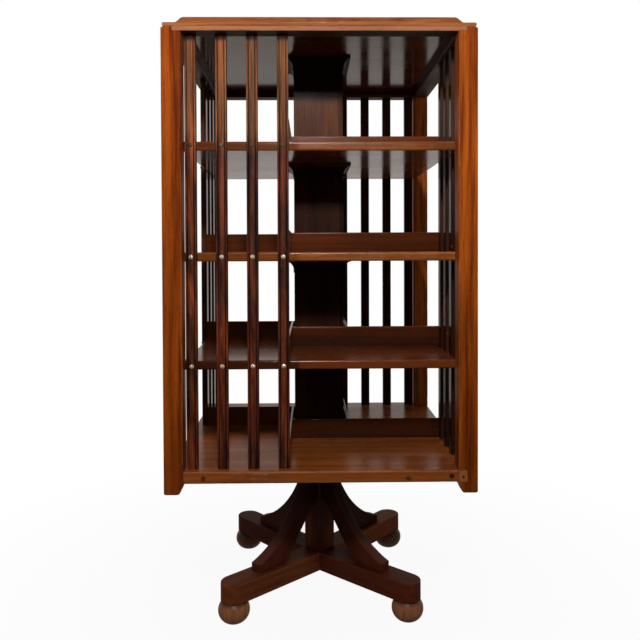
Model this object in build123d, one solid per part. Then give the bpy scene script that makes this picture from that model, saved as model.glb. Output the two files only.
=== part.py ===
from build123d import *
import os

# Revolving bookcase: a square case of open tiers that turns on a fixed, cross-shaped pedestal.
# Millimetres, +Z up, origin on the floor under the turning axis, front face towards -Y.
# The case has four-fold turning symmetry: each face has slats on its left half, books go in on its right.

# Case: plan and corner posts
case_width = 610.0
post_size = 38.0
post_drop = 21.0
post_foot_cut = 8.5
post_foot_cut_height = 19.0
post_foot_arris = 4.0
post_arris = 2.5

# Case: boards, and the clear heights of the four tiers from the bottom up
bottom_board_thickness = 24.0
bottom_board_setback = 2.0
shelf_thickness = 18.0
board_arris = 4.0
bottom_tier_height = 193.0
lower_tier_height = 196.0
upper_tier_height = 200.0
top_tier_height = 206.0

# Slats: reeded section, place behind the post faces, and stub tenons at both ends
slats_per_face = 4
slat_width = 22.0
slat_thickness = 14.0
slat_setback = 18.0
slat_post_gap = 3.5
slat_column_gap = 5.5
slat_bead_width = 4.0
slat_bead_rise = 1.6
slat_bead_drop = 0.3
slat_groove_width = 1.2
slat_groove_depth = 2.8
slat_rib_crown = 1.0
slat_tenon_width = 12.0
slat_tenon_thickness = 7.0
slat_tenon_length = 6.0

# Round-head screws that hold the slats to the shelf edges
screw_head_diameter = 9.0
screw_head_height = 3.2
screw_shank_diameter = 4.0
screw_length = 30.0
screw_seat_depth = 0.6

# Hollow column, capital mouldings and book stops
column_width = 112.0
column_board_thickness = 11.0
capital_height = 29.0
capital_projection = 17.0
capital_fillet = 4.0
capital_step = 2.0
capital_hollow = 5.0
stop_height = 44.0
stop_thickness = 6.0
stop_standoff = 4.5
stop_arris = 2.0

# Top: rails with a mitred capping edge, and the moulded top board
rail_thickness = 9.0
rail_setback = 0.5
rail_cover = 5.0
capping_thickness = 9.0
capping_setback = 2.5
capping_nose = 3.8
top_board_thickness = 20.5
top_board_setback = 15.5
ogee_run = 13.0
ogee_quirk = 5.0
ogee_fullness = 0.45

# Pedestal: feet and crossed arms
foot_height = 45.0
foot_diameter = 67.0
foot_sole_diameter = 30.0
foot_neck_diameter = 50.0
foot_spigot_diameter = 22.0
foot_spigot_length = 20.0
foot_circle_radius = 260.0
arm_width = 56.0
arm_thickness = 41.0
arm_arris = 2.5
pedestal_rise = 245.0

# Pedestal: sawn braces
brace_thickness = 28.0
brace_toe_radius = 200.0
brace_toe_height = 17.0
brace_heel_radius = 123.0
brace_heel_height = 118.0
brace_tip_width = 7.0
brace_hollow = 43.0
brace_tenon_thickness = 10.0
brace_tenon_depth = 14.0
brace_tenon_margin = 12.0

# Pedestal: central post, square below the case and turned above
center_post_size = 50.0
center_post_tenon_diameter = 28.0
center_post_tenon_length = 35.0
journal_diameter = 46.0
journal_overrun = 20.0
post_neck_diameter = 40.0
post_end_diameter = 34.0

# Turning gear: guide bush, ferrule, spindle, cup and bridge
bush_wall = 6.0
bush_flange_width = 13.0
bush_flange_thickness = 4.0
ferrule_wall = 3.0
ferrule_height = 22.0
spindle_diameter = 18.0
spindle_seat_depth = 70.0
spindle_neck = 12.0
spindle_crown = 3.0
cup_wall = 8.0
cup_bore_depth = 28.0
cup_roof = 2.0
cup_plate_diameter = 72.0
cup_plate_thickness = 6.0
cup_stud_diameter = 16.0
cup_stud_length = 18.0
bridge_thickness = 30.0

# Clearances: radial for seats and running fits, axial at the thrust point and under the case
fit_clearance = 0.05
running_clearance = 0.06
thrust_gap = 0.1
case_gap = 3.0

# Plan lines of the case, from its axis outwards
half_width = case_width / 2
post_inner = half_width - post_size
post_centre = half_width - post_size / 2
column_half = column_width / 2
column_inner_half = column_half - column_board_thickness
stop_back = column_half + stop_standoff
slat_face = half_width - slat_setback
shelf_half = slat_face - slat_thickness
rail_face = half_width - rail_setback
rail_inner = shelf_half - rail_cover
slat_innermost = column_half + slat_column_gap + slat_width / 2
slat_outermost = post_inner - slat_post_gap - slat_width / 2
slat_pitch = (slat_outermost - slat_innermost) / (slats_per_face - 1)

# Levels, from the floor up
arm_top = foot_height + arm_thickness
case_floor = arm_top + pedestal_rise
pedestal_top = case_floor - case_gap
post_foot = case_floor - post_drop
bottom_board_top = case_floor + bottom_board_thickness
shelf_lower_base = bottom_board_top + bottom_tier_height
shelf_middle_base = shelf_lower_base + shelf_thickness + lower_tier_height
shelf_upper_base = shelf_middle_base + shelf_thickness + upper_tier_height
rail_base = shelf_upper_base + shelf_thickness + top_tier_height
post_top = rail_base + rail_thickness
ceiling = post_top + capping_thickness
case_top = ceiling + top_board_thickness
shelf_bases = {"lower": shelf_lower_base, "middle": shelf_middle_base, "upper": shelf_upper_base}

# Levels of the turning gear, from the ceiling down
bridge_base = ceiling - bridge_thickness
cup_plate_base = bridge_base - cup_plate_thickness
cup_bore_end = cup_plate_base - cup_roof
cup_mouth = cup_bore_end - cup_bore_depth
spindle_tip = cup_bore_end - thrust_gap
center_post_top = cup_mouth - spindle_neck
ferrule_base = center_post_top - ferrule_height
journal_top = bottom_board_top + bush_flange_thickness + journal_overrun

# Quarter turns about the axis, and the heading of the front left arm
sides = {"front": 0, "right": 90, "back": 180, "left": 270}
corners = {"front_left": 0, "front_right": 90, "back_right": 180, "back_left": 270}
front_left_heading = 225


def block(x_min, x_max, y_min, y_max, z_min, z_max):
    """Box between six limits."""
    corner = (Align.MIN, Align.MIN, Align.MIN)
    return Pos(x_min, y_min, z_min) * Box(x_max - x_min, y_max - y_min, z_max - z_min, align=corner)


def rod(radius, z_min, z_max):
    """Upright cylinder on the axis."""
    foot = (Align.CENTER, Align.CENTER, Align.MIN)
    return Pos(0, 0, z_min) * Cylinder(radius, z_max - z_min, align=foot)


def turned(shape, angle):
    """The shape turned about the axis."""
    return Rot(0, 0, angle) * shape


def lathe(outline):
    """Solid of revolution from an outline of radius and height."""
    return revolve(Plane.XZ * make_face(outline), Axis.Z)


def through_board(profile):
    """Long bar of a section drawn in X and Z."""
    return extrude(Plane.XZ * profile, amount=case_width, both=True)


def square_board(profile):
    """Board whose edge profile runs round all four sides and mitres at the corners."""
    along_y = through_board(profile)
    return along_y & turned(along_y, 90)


def eased_profile(half, z_min, z_max):
    """Section of a board with eased edges."""
    return Pos(0, (z_min + z_max) / 2) * RectangleRounded(2 * half, z_max - z_min, board_arris)


def mitred_front(profile):
    """Front one of four mitred strips, from a section drawn in Y and Z."""
    strip = extrude(Plane.YZ * profile, amount=case_width, both=True)
    box = strip.bounding_box()
    plan = make_face(Polyline((0, 0), (half_width, -half_width), (-half_width, -half_width), close=True))
    wedge = Pos(0, 0, box.min.Z) * extrude(plan, amount=box.size.Z)
    return strip & wedge


def corner_post():
    """Front left post: eased edges, inner edges cut back at the foot, shelf corners housed."""
    length = post_top - post_foot
    plan = Pos(-post_centre, -post_centre) * RectangleRounded(post_size, post_size, post_arris)
    post = Pos(0, 0, post_foot) * extrude(plan, amount=length)
    foot = Line((-half_width, post_foot), (-post_inner - post_foot_cut, post_foot))
    cut = Line((-post_inner - post_foot_cut, post_foot), (-post_inner, post_foot + post_foot_cut_height))
    inner = Line((-post_inner, post_foot + post_foot_cut_height), (-post_inner, post_top))
    outer = Polyline((-post_inner, post_top), (-half_width, post_top), (-half_width, post_foot))
    face = make_face((foot + cut + inner + outer).edges())
    from_front = through_board(fillet(face.vertices().group_by(Axis.Y)[0], post_foot_arris))
    post &= from_front
    post &= turned(mirror(from_front, Plane.YZ), -90)
    for base in shelf_bases.values():
        post -= block(-shelf_half, 0, -shelf_half, 0, base, base + shelf_thickness)
    return post


def slat_centres():
    """Places of the front slats along X, the one beside the post first."""
    return [-slat_outermost + index * slat_pitch for index in range(slats_per_face)]


def slat_tenons(centre):
    """Stub tenons of one front slat, into the bottom board and into the rail."""
    middle = -(slat_face + shelf_half) / 2
    across = slat_tenon_width / 2
    deep = slat_tenon_thickness / 2
    plan = (centre - across, centre + across, middle - deep, middle + deep)
    lower = block(*plan, bottom_board_top - slat_tenon_length, bottom_board_top)
    upper = block(*plan, rail_base, rail_base + slat_tenon_length)
    return lower, upper


def slat_profile():
    """Reeded section with its back on the X axis: a wide crowned rib between two edge beads."""
    half = slat_width / 2
    bead_end = half - slat_bead_width
    rib_half = bead_end - slat_groove_width
    rib_edge = slat_thickness - slat_rib_crown
    bead_crest = slat_thickness - slat_bead_drop
    spring = bead_crest - slat_bead_rise
    groove = (bead_end - slat_groove_width / 2, slat_thickness - slat_groove_depth)
    side = Line((half, 0), (half, spring))
    bead = ThreePointArc((half, spring), ((half + bead_end) / 2, bead_crest), (bead_end, spring))
    quirk = Polyline((bead_end, spring), groove, (rib_half, rib_edge))
    right = side + bead + quirk
    rib = ThreePointArc((rib_half, rib_edge), (0, slat_thickness), (-rib_half, rib_edge))
    back = Line((-half, 0), (half, 0))
    return make_face((right + rib + mirror(right, Plane.YZ) + back).edges())


def screw_place(centre, base):
    """Seat of a front screw's head, in the middle of a shelf edge, facing outwards."""
    return Pos(centre, screw_seat_depth - slat_face, base + shelf_thickness / 2) * Rot(90, 0, 0)


def slat_screw():
    """Round-head screw with the underside of its head on the XY plane."""
    radius = screw_head_diameter / 2
    dome_radius = (radius ** 2 + screw_head_height ** 2) / (2 * screw_head_height)
    dome = Pos(0, 0, screw_head_height - dome_radius) * Sphere(dome_radius)
    head = dome & rod(radius, 0, screw_head_height)
    return head + rod(screw_shank_diameter / 2, -screw_length, 0)


def slat_screw_hole():
    """Clearance hole and flat seat for one screw in a slat."""
    shank = rod(screw_shank_diameter / 2 + fit_clearance, -slat_thickness, 0)
    seat = rod(screw_head_diameter / 2 + fit_clearance, 0, slat_thickness)
    return shank + seat


def front_slat(centre):
    """Slat at one place on the front, tenoned at both ends and drilled for its screws."""
    bar = turned(extrude(slat_profile(), amount=rail_base - bottom_board_top), 180)
    slat = Pos(centre, -shelf_half, bottom_board_top) * bar
    for tenon in slat_tenons(centre):
        slat += tenon
    for base in shelf_bases.values():
        slat -= screw_place(centre, base) * slat_screw_hole()
    return slat


def bottom_board():
    """Board under the bottom tier: notched for the posts, bored for the bush, mortised for the slats."""
    half = half_width - bottom_board_setback
    board = square_board(eased_profile(half, case_floor, bottom_board_top))
    notch = block(-half_width, -post_inner, -half_width, -post_inner, case_floor, bottom_board_top)
    for angle in corners.values():
        board -= turned(notch, angle)
        for centre in slat_centres():
            board -= turned(slat_tenons(centre)[0], angle)
    return board - rod(journal_diameter / 2 + bush_wall + fit_clearance, case_floor, bottom_board_top)


def shelf(base):
    """Shelf with eased edges, fitted round the column."""
    top = base + shelf_thickness
    board = square_board(eased_profile(shelf_half, base, top))
    return board - block(-column_half, column_half, -column_half, column_half, base, top)


def front_column_board():
    """Front one of four boards that butt round the hollow column like a pinwheel."""
    plan = (-column_half, column_inner_half, -column_half, -column_inner_half)
    return block(*plan, bottom_board_top, ceiling)


def front_capital(level):
    """Front strip of the mitred capital under one level: fillet, cove and lower edge."""
    face = -column_half
    lip = face - capital_projection
    cove_top = (lip + capital_step, level - capital_fillet)
    cove_foot = (face - capital_step, level - capital_height + capital_step)
    upper = Polyline((face, level), (lip, level), (lip, level - capital_fillet), cove_top)
    cove = SagittaArc(cove_top, cove_foot, capital_hollow)
    foot_edge = (face - capital_step, level - capital_height)
    lower = Polyline(cove_foot, foot_edge, (face, level - capital_height), (face, level))
    return mitred_front(make_face((upper + cove + lower).edges()))


def front_stop(floor):
    """Low stop behind the front books, from the neighbouring stop to the slats on the right."""
    section = RectangleRounded(stop_thickness, 2 * stop_height, stop_arris)
    bar = extrude(Plane.YZ * section, amount=shelf_half + stop_back)
    bar = Pos(-stop_back, -stop_back - stop_thickness / 2, floor) * bar
    return bar & block(-stop_back, shelf_half, -half_width, 0, floor, floor + stop_height)


def front_rail():
    """Front top rail between the posts, with a mitred round-nosed capping edge over them."""
    rail = block(-post_inner, post_inner, -rail_face, -rail_inner, rail_base, post_top)
    nose = half_width - capping_setback
    section = Pos(-(nose + rail_inner) / 2, post_top + capping_thickness / 2)
    section *= Rectangle(nose - rail_inner, capping_thickness)
    outer = section.vertices().group_by(Axis.X)[0]
    rail += mitred_front(fillet(outer, capping_nose))
    for centre in slat_centres():
        rail -= slat_tenons(centre)[1]
    return rail


def top_board():
    """Top board with an ogee edge."""
    foot = half_width - top_board_setback
    crown = foot - ogee_run
    quirk = ceiling + ogee_quirk
    pull = ogee_run * ogee_fullness
    base = Polyline((0, case_top), (0, ceiling), (foot, ceiling), (foot, quirk))
    ogee = Bezier((foot, quirk), (foot - pull, quirk), (crown + pull, case_top), (crown, case_top))
    half_section = make_face((base + ogee + Line((crown, case_top), (0, case_top))).edges())
    return square_board(half_section + mirror(half_section, Plane.YZ))


def bun_foot():
    """Turned foot with a flat sole and a spigot into the arm."""
    sole = foot_sole_diameter / 2
    neck = foot_neck_diameter / 2
    spigot = foot_spigot_diameter / 2
    spigot_top = foot_height + foot_spigot_length
    bun = ThreePointArc((sole, 0), (foot_diameter / 2, foot_height / 2), (neck, foot_height))
    stem = Polyline((neck, foot_height), (spigot, foot_height), (spigot, spigot_top), (0, spigot_top))
    axis = Polyline((0, spigot_top), (0, 0), (sole, 0))
    return Pos(foot_circle_radius, 0, 0) * lathe((axis + bun + stem).edges())


def brace_tenon():
    """Tenon of a brace along +X, into the top of its arm."""
    start = brace_heel_radius + brace_tenon_margin
    end = brace_toe_radius - brace_tenon_margin
    side = brace_tenon_thickness / 2
    return block(start, end, -side, side, arm_top - brace_tenon_depth, arm_top)


def brace():
    """Sawn brace along +X: hollow outer curve, straight inner edge, upright toe."""
    post_face = center_post_size / 2
    tip = (post_face + brace_tip_width, pedestal_top)
    toe = (brace_toe_radius, arm_top + brace_toe_height)
    sole = Polyline(toe, (brace_toe_radius, arm_top), (brace_heel_radius, arm_top))
    heel = Line((brace_heel_radius, arm_top), (post_face, arm_top + brace_heel_height))
    back = Polyline((post_face, arm_top + brace_heel_height), (post_face, pedestal_top), tip)
    hollow = SagittaArc(toe, tip, brace_hollow)
    section = make_face((sole + heel + back + hollow).edges())
    return extrude(Plane.XZ * section, amount=brace_thickness / 2, both=True) + brace_tenon()


def arm(notch_base, notch_top):
    """Crossing arm along X with round ends over the feet, halved between two levels at the crossing."""
    plan = SlotCenterToCenter(2 * foot_circle_radius, arm_width)
    bar = Pos(0, 0, foot_height) * extrude(plan, amount=arm_thickness)
    levels = bar.edges().group_by(Axis.Z)
    bar = fillet(levels[0] + levels[-1], arm_arris)
    bar -= block(-arm_width / 2, arm_width / 2, -arm_width / 2, arm_width / 2, notch_base, notch_top)
    spigot_radius = foot_spigot_diameter / 2 + fit_clearance
    spigot_hole = rod(spigot_radius, foot_height, foot_height + foot_spigot_length)
    for angle in (0, 180):
        bar -= turned(Pos(foot_circle_radius, 0, 0) * spigot_hole, angle)
        bar -= turned(brace_tenon(), angle)
    return bar - rod(center_post_tenon_diameter / 2 + fit_clearance, foot_height, arm_top)


def center_post():
    """Post on the crossing: tenon below, square shaft between the braces, turned inside the case."""
    tenon = rod(center_post_tenon_diameter / 2, arm_top - center_post_tenon_length, arm_top)
    half = center_post_size / 2
    shaft = block(-half, half, -half, half, arm_top, pedestal_top)
    journal = journal_diameter / 2
    neck = post_neck_diameter / 2
    end = post_end_diameter / 2
    axis = Line((0, center_post_top), (0, pedestal_top))
    lower = Polyline((0, pedestal_top), (journal, pedestal_top), (journal, journal_top))
    upper = Polyline((journal, journal_top), (neck, ferrule_base), (end, ferrule_base))
    head = Polyline((end, ferrule_base), (end, center_post_top), (0, center_post_top))
    turning = lathe((axis + lower + upper + head).edges())
    socket_radius = spindle_diameter / 2 + fit_clearance
    socket = rod(socket_radius, center_post_top - spindle_seat_depth, center_post_top)
    return tenon + turned(shaft, front_left_heading) + turning - socket


def post_ferrule():
    """Ring that keeps the top of the post from splitting."""
    bore = post_end_diameter / 2 + fit_clearance
    ring = rod(bore + ferrule_wall, ferrule_base, center_post_top)
    return ring - rod(bore, ferrule_base, center_post_top)


def pivot_spindle():
    """Spindle driven into the post, with a rounded tip that carries the case."""
    radius = spindle_diameter / 2
    foot = center_post_top - spindle_seat_depth
    shoulder = spindle_tip - spindle_crown
    crown_radius = (radius ** 2 + spindle_crown ** 2) / (2 * spindle_crown)
    crown = Pos(0, 0, spindle_tip - crown_radius) * Sphere(crown_radius)
    return rod(radius, foot, shoulder) + (crown & rod(radius, shoulder, spindle_tip))


def pivot_cup():
    """Cup that rides on the spindle: bored boss, round plate and a stud into the bridge."""
    bore = spindle_diameter / 2 + running_clearance
    boss = rod(bore + cup_wall, cup_mouth, cup_plate_base)
    plate = rod(cup_plate_diameter / 2, cup_plate_base, bridge_base)
    stud = rod(cup_stud_diameter / 2, bridge_base, bridge_base + cup_stud_length)
    return boss + plate + stud - rod(bore, cup_mouth, cup_bore_end)


def pivot_bridge():
    """Block across the top of the column that hangs the case on the cup."""
    half = column_inner_half
    bridge = block(-half, half, -half, half, bridge_base, ceiling)
    return bridge - rod(cup_stud_diameter / 2 + fit_clearance, bridge_base, bridge_base + cup_stud_length)


def guide_bush():
    """Flanged bush in the bottom board that steadies the case on the post's journal."""
    bore = journal_diameter / 2 + running_clearance
    barrel = journal_diameter / 2 + bush_wall
    flange_top = bottom_board_top + bush_flange_thickness
    bush = rod(barrel, case_floor, bottom_board_top)
    bush += rod(barrel + bush_flange_width, bottom_board_top, flange_top)
    return bush - rod(bore, case_floor, flange_top)


def save(name, *pieces):
    """Write one node, from one solid or from several alike."""
    solids = [solid for piece in pieces for solid in piece.solids()]
    shape = solids[0] if len(solids) == 1 else Compound(solids)
    export_step(shape, os.path.join("parts", name + ".step"))


os.makedirs("parts", exist_ok=True)

# Pedestal
arm_middle = foot_height + arm_thickness / 2
save("base_arm_lower", turned(arm(arm_middle, arm_top), front_left_heading))
save("base_arm_upper", turned(arm(foot_height, arm_middle), front_left_heading + 90))
for corner, angle in corners.items():
    save("foot_" + corner, turned(bun_foot(), front_left_heading + angle))
    save("brace_" + corner, turned(brace(), front_left_heading + angle))
save("center_post", center_post())
save("post_ferrule", post_ferrule())
save("pivot_spindle", pivot_spindle())

# Case: carcass
for corner, angle in corners.items():
    save("post_" + corner, turned(corner_post(), angle))
save("bottom_board", bottom_board())
for level, base in shelf_bases.items():
    save("shelf_" + level, shelf(base))
for side, angle in sides.items():
    save("top_rail_" + side, turned(front_rail(), angle))
    save("column_board_" + side, turned(front_column_board(), angle))
save("top_board", top_board())

# Case: slats and their screws
screws = []
for side, angle in sides.items():
    for number, centre in enumerate(slat_centres(), start=1):
        save("slat_{}_{}".format(side, number), turned(front_slat(centre), angle))
        screws += [turned(screw_place(centre, base) * slat_screw(), angle) for base in shelf_bases.values()]
save("slat_screws", *screws)

# Case: capitals under the shelves and the top, book stops on each tier
capital_levels = dict(shelf_bases, top=ceiling)
for level, height in capital_levels.items():
    save("capital_" + level, *[turned(front_capital(height), angle) for angle in sides.values()])
tier_floors = {"bottom": bottom_board_top}
for level, base in shelf_bases.items():
    tier_floors[level] = base + shelf_thickness
for tier, floor in tier_floors.items():
    save("book_stops_" + tier, *[turned(front_stop(floor), angle) for angle in sides.values()])

# Case: turning gear
save("pivot_bridge", pivot_bridge())
save("pivot_cup", pivot_cup())
save("guide_bush", guide_bush())
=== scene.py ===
import math
import random

import bmesh
import bpy
from bpy.props import FloatProperty, FloatVectorProperty, IntProperty, PointerProperty
from mathutils import Matrix, Vector, noise


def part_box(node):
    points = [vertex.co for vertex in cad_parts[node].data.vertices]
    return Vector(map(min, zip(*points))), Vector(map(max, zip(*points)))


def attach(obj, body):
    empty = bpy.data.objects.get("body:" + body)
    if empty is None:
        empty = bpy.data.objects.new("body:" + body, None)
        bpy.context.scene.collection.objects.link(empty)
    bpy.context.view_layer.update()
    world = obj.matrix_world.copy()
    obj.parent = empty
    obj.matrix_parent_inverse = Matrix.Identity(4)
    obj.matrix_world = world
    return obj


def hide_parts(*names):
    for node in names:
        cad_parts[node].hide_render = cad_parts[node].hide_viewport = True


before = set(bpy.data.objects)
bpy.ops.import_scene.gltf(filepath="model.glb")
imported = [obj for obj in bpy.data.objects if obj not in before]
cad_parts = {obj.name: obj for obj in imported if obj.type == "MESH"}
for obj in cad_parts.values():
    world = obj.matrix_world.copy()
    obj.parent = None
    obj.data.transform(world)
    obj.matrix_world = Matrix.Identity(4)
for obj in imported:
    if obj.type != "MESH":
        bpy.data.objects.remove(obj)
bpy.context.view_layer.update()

bl_info = {
    "name": "Revolving Bookcase",
    "version": (1, 0, 0),
    "blender": (4, 5, 0),
    "location": "3D View > Sidebar > Bookcase",
    "description": "Dresses the frame of a revolving bookcase in moulded, polished and worn timber",
    "category": "Object",
}

# Places taken from the frame
POST_LOW, POST_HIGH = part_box("post_front_left")
BOTTOM_LOW, BOTTOM_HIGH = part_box("bottom_board")
RAIL_LOW, RAIL_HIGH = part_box("top_rail_front")
TOP_LOW, TOP_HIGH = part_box("top_board")
COLUMN_LOW, COLUMN_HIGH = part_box("column_board_front")
STOP_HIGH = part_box("book_stops_bottom")[1]
SLAT_LOW, SLAT_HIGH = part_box("slat_front_1")
NEXT_SLAT_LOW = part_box("slat_front_2")[0]
FOOT_LOW, FOOT_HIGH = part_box("foot_front_left")
BRACE_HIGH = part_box("brace_front_left")[1]
ARM_LOW, ARM_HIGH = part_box("base_arm_upper")
BUSH_LOW, BUSH_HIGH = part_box("guide_bush")
CENTER_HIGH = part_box("center_post")[1]

SIDES = {"front": 0, "right": 90, "back": 180, "left": 270}
CORNERS = {"front_left": 0, "front_right": 90, "back_right": 180, "back_left": 270}
SHELVES = ("lower", "middle", "upper")
ARMS = {"lower": 45, "upper": 315}
FRONT_LEFT_HEADING = 225

# Grain axes: along the fibres, across the board, through the board
ALONG_X = Matrix(((1, 0, 0), (0, 1, 0), (0, 0, 1)))
ALONG_Z = Matrix(((0, 0, 1), (1, 0, 0), (0, 1, 0)))
ALONG_BRACE = Matrix(((0.62, 0.0, -0.78), (0.78, 0.0, 0.62), (0.0, 1.0, 0.0)))
GRAIN_SPREAD = 4.0

# Distances and angles in the meshes
POINT_STEP = 0.008
SAME_POINT = 1e-6
HAIR = 0.0001
SHARP_WOOD = math.radians(40)
SHARP_METAL = math.radians(35)
QUARTER_TURN = [math.pi / 2 * n / 4 for n in range(5)]

# The first seed of each group of pieces
SEEDS = {"posts": 11, "shelves": 31, "bottom": 39, "rails": 51, "capping": 55, "top": 60,
         "column": 71, "capitals": 81, "stops": 91, "patch": 101, "plug": 102, "arms": 111,
         "braces": 121, "center_post": 131, "feet": 141, "slats": 7, "screws": 5}

# Tones of single pieces, from 0 for dark to 1 for pale
# The back right post's high tone is painted light
POST_TONES = {"front_left": 0.42, "front_right": 0.60, "back_right": 1.0, "back_left": 0.7}
SHELF_TONES = {"lower": 0.12, "middle": 1.0, "upper": 0.75}
ARM_TONES = {"lower": 0.95, "upper": 0.1}
# The back feet's low tone is painted shade
FOOT_TONES = {"front": 0.55, "back": 0.1}
BOTTOM_TONE, RAIL_TONE, STOP_TONE, PATCH_TONE, CENTER_TONE = 0.8, 0.5, 0.3, 0.9, 0.45
DARKEST = 0.0

# Crests of single pieces, from 1 where the wood is palest to -1 where it is darkest, for wear
# and dirt and for painted light and shade
# The back right post's bare-wood crest is painted light
POST_PAINTED_LIGHT = {"front_left": 0.0, "front_right": 0.0, "back_right": 0.6, "back_left": 0.0}
SHELF_WEAR = {"lower": 0.1, "middle": 0.52, "upper": 0.40}
# How much darker the stops are in each tier
STOP_DARKENING = {"bottom": -0.4, "lower": -0.6, "middle": -0.1, "upper": -0.1}
# The back feet's dark crest is painted shade
FOOT_SHADE = {"front": 0.0, "back": -0.6}
TREAD = 0.3
# Crest of the rails' undersides and of the inner faces of rails and capping: painted shade
PAINTED_SHADE = -0.9
SLAT_BACK = -0.95


def length(name, description, default):
    """A size in metres that a user may change."""
    return FloatProperty(name=name, description=description, default=default, min=0.0,
                         unit="LENGTH", precision=4)


def colour(name, description, default):
    """A colour that a user may change."""
    return FloatVectorProperty(name=name, description=description, default=default, size=3,
                               min=0.0, max=1.0, subtype="COLOR")


def light_grain(wood, pieces, default):
    """The lighter colour in the grain of a wood."""
    return colour(wood + ", light grain", "Lighter grain of the " + pieces, default)


def dark_grain(wood, pieces, default):
    """The darker colour in the grain of a wood."""
    return colour(wood + ", dark grain", "Darker grain of the " + pieces, default)


def power(name, description, default):
    """The power of a lamp in watts."""
    return FloatProperty(name=name, description=description, default=default, unit="POWER")


class BookcaseCase(bpy.types.PropertyGroup):
    """Sizes of the turning case."""
    half_width: length("Half width", "From the turning axis to a post's outer face", -POST_LOW.x)
    post_size: length("Post size", "Side of a corner post", POST_HIGH.x - POST_LOW.x)
    post_foot: length("Post foot", "Height of the posts' lower ends", POST_LOW.z)
    post_top: length("Post top", "Height of the posts' upper ends", POST_HIGH.z)
    post_arris: length("Post arris", "Radius of the posts' eased edges", 0.0025)
    post_foot_cut: length("Post foot cut", "Width cut off the inner edges of a foot", 0.0085)
    post_foot_rise: length("Post foot rise", "Height of the cut on a post's foot", 0.019)
    post_end_arris: length("Post end arris", "Radius round both ends of a post", 0.004)
    board_arris: length("Board arris", "Radius of the shelves' eased edges", 0.004)
    stop_thickness: length("Stop thickness", "Thickness of the book stops", 0.006)
    stop_standoff: length("Stop standoff", "Gap between the column and the stops", 0.0045)
    stop_arris: length("Stop arris", "Radius on the upper edges of the book stops", 0.002)
    slat_width: length("Slat width", "Width of a reeded slat", SLAT_HIGH.x - SLAT_LOW.x)
    slat_thickness: length("Slat thickness", "Depth of a slat at its crown",
                           SLAT_HIGH.y - SLAT_LOW.y)
    slat_pitch: length("Slat pitch", "Distance from slat to slat", NEXT_SLAT_LOW.x - SLAT_LOW.x)
    slat_bead: length("Slat bead", "Width of the bead on each edge of a slat", 0.004)
    slat_groove: length("Slat groove", "Width of the groove beside each bead", 0.0012)
    slat_count: IntProperty(name="Slats", description="Slats on each face", default=4, min=1)
    screw_head: length("Screw head", "Diameter of a screw head", 0.009)
    screw_dome: length("Screw dome", "Height of a screw head", 0.0030)
    screw_slot: length("Screw slot", "Width of the slot in a screw head", 0.0012)
    screw_seat: length("Screw seat", "Depth that a screw head is let into a slat", 0.0006)
    column_board: length("Column board", "Thickness of the column boards",
                         COLUMN_HIGH.y - COLUMN_LOW.y)
    capital_fillet: length("Capital fillet", "Height of the capital's top fillet", 0.004)
    capital_step: length("Capital step", "Width of the capital's small steps", 0.002)
    capital_hollow: length("Capital hollow", "Depth of the capital's cove", 0.005)
    rail_lap: length("Rail lap", "Length that a rail's end is let over a post", 0.016)
    rail_proud: length("Rail proud", "How far a rail stands in front of the posts", 0.0011)
    rail_arris: length("Rail arris", "Radius of the rails' eased edges", 0.0015)
    capping_thickness: length("Capping", "Thickness of the capping", TOP_LOW.z - POST_HIGH.z)
    capping_nose: length("Capping nose", "Radius of the capping's rounded edge", 0.0038)
    ogee_run: length("Ogee run", "Width of the ogee on the top board", 0.017)
    ogee_setback: length("Ogee setback", "How far the ogee stands inside the blank", 0.005)
    ogee_pull: length("Ogee pull", "How far the ogee runs level at both ends", 0.0058)
    ogee_quirk: length("Ogee quirk", "Height of the flat edge under the ogee", 0.005)
    hand_wear: length("Hand wear", "Depth of the nicks along worn edges", 0.0007)


class BookcasePedestal(bpy.types.PropertyGroup):
    """Sizes of the fixed pedestal."""
    foot_sole: length("Foot sole", "Radius of the flat under a bun foot", 0.015)
    foot_bun: length("Foot bun", "Radius of a bun foot at its middle", 0.0335)
    foot_neck: length("Foot neck", "Radius of a bun foot under the arm", 0.025)
    arm_arris: length("Arm arris", "Radius of the arms' eased edges", 0.0025)
    brace_thickness: length("Brace thickness", "Thickness of a sawn brace", 0.028)
    brace_toe_radius: length("Brace toe radius", "From the axis to a brace's toe", 0.200)
    brace_toe_height: length("Brace toe height", "Height of a brace's toe", 0.017)
    brace_heel_radius: length("Brace heel radius", "From the axis to a brace's heel", 0.123)
    brace_heel_height: length("Brace heel height", "Where the heel meets the post", 0.118)
    brace_tip: length("Brace tip", "Width of a brace's upper end", 0.007)
    brace_hollow: length("Brace hollow", "Depth of a brace's curve", 0.043)
    brace_arris: length("Brace arris", "Radius of the braces' eased edges", 0.0022)
    post_size: length("Post size", "Side of the square part of the central post", 0.050)
    sag: length("Sag", "How far the crossing of the arms has sunk with age", 0.009)
    journal: length("Journal", "Diameter of the turned part of the central post", 0.046)


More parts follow.
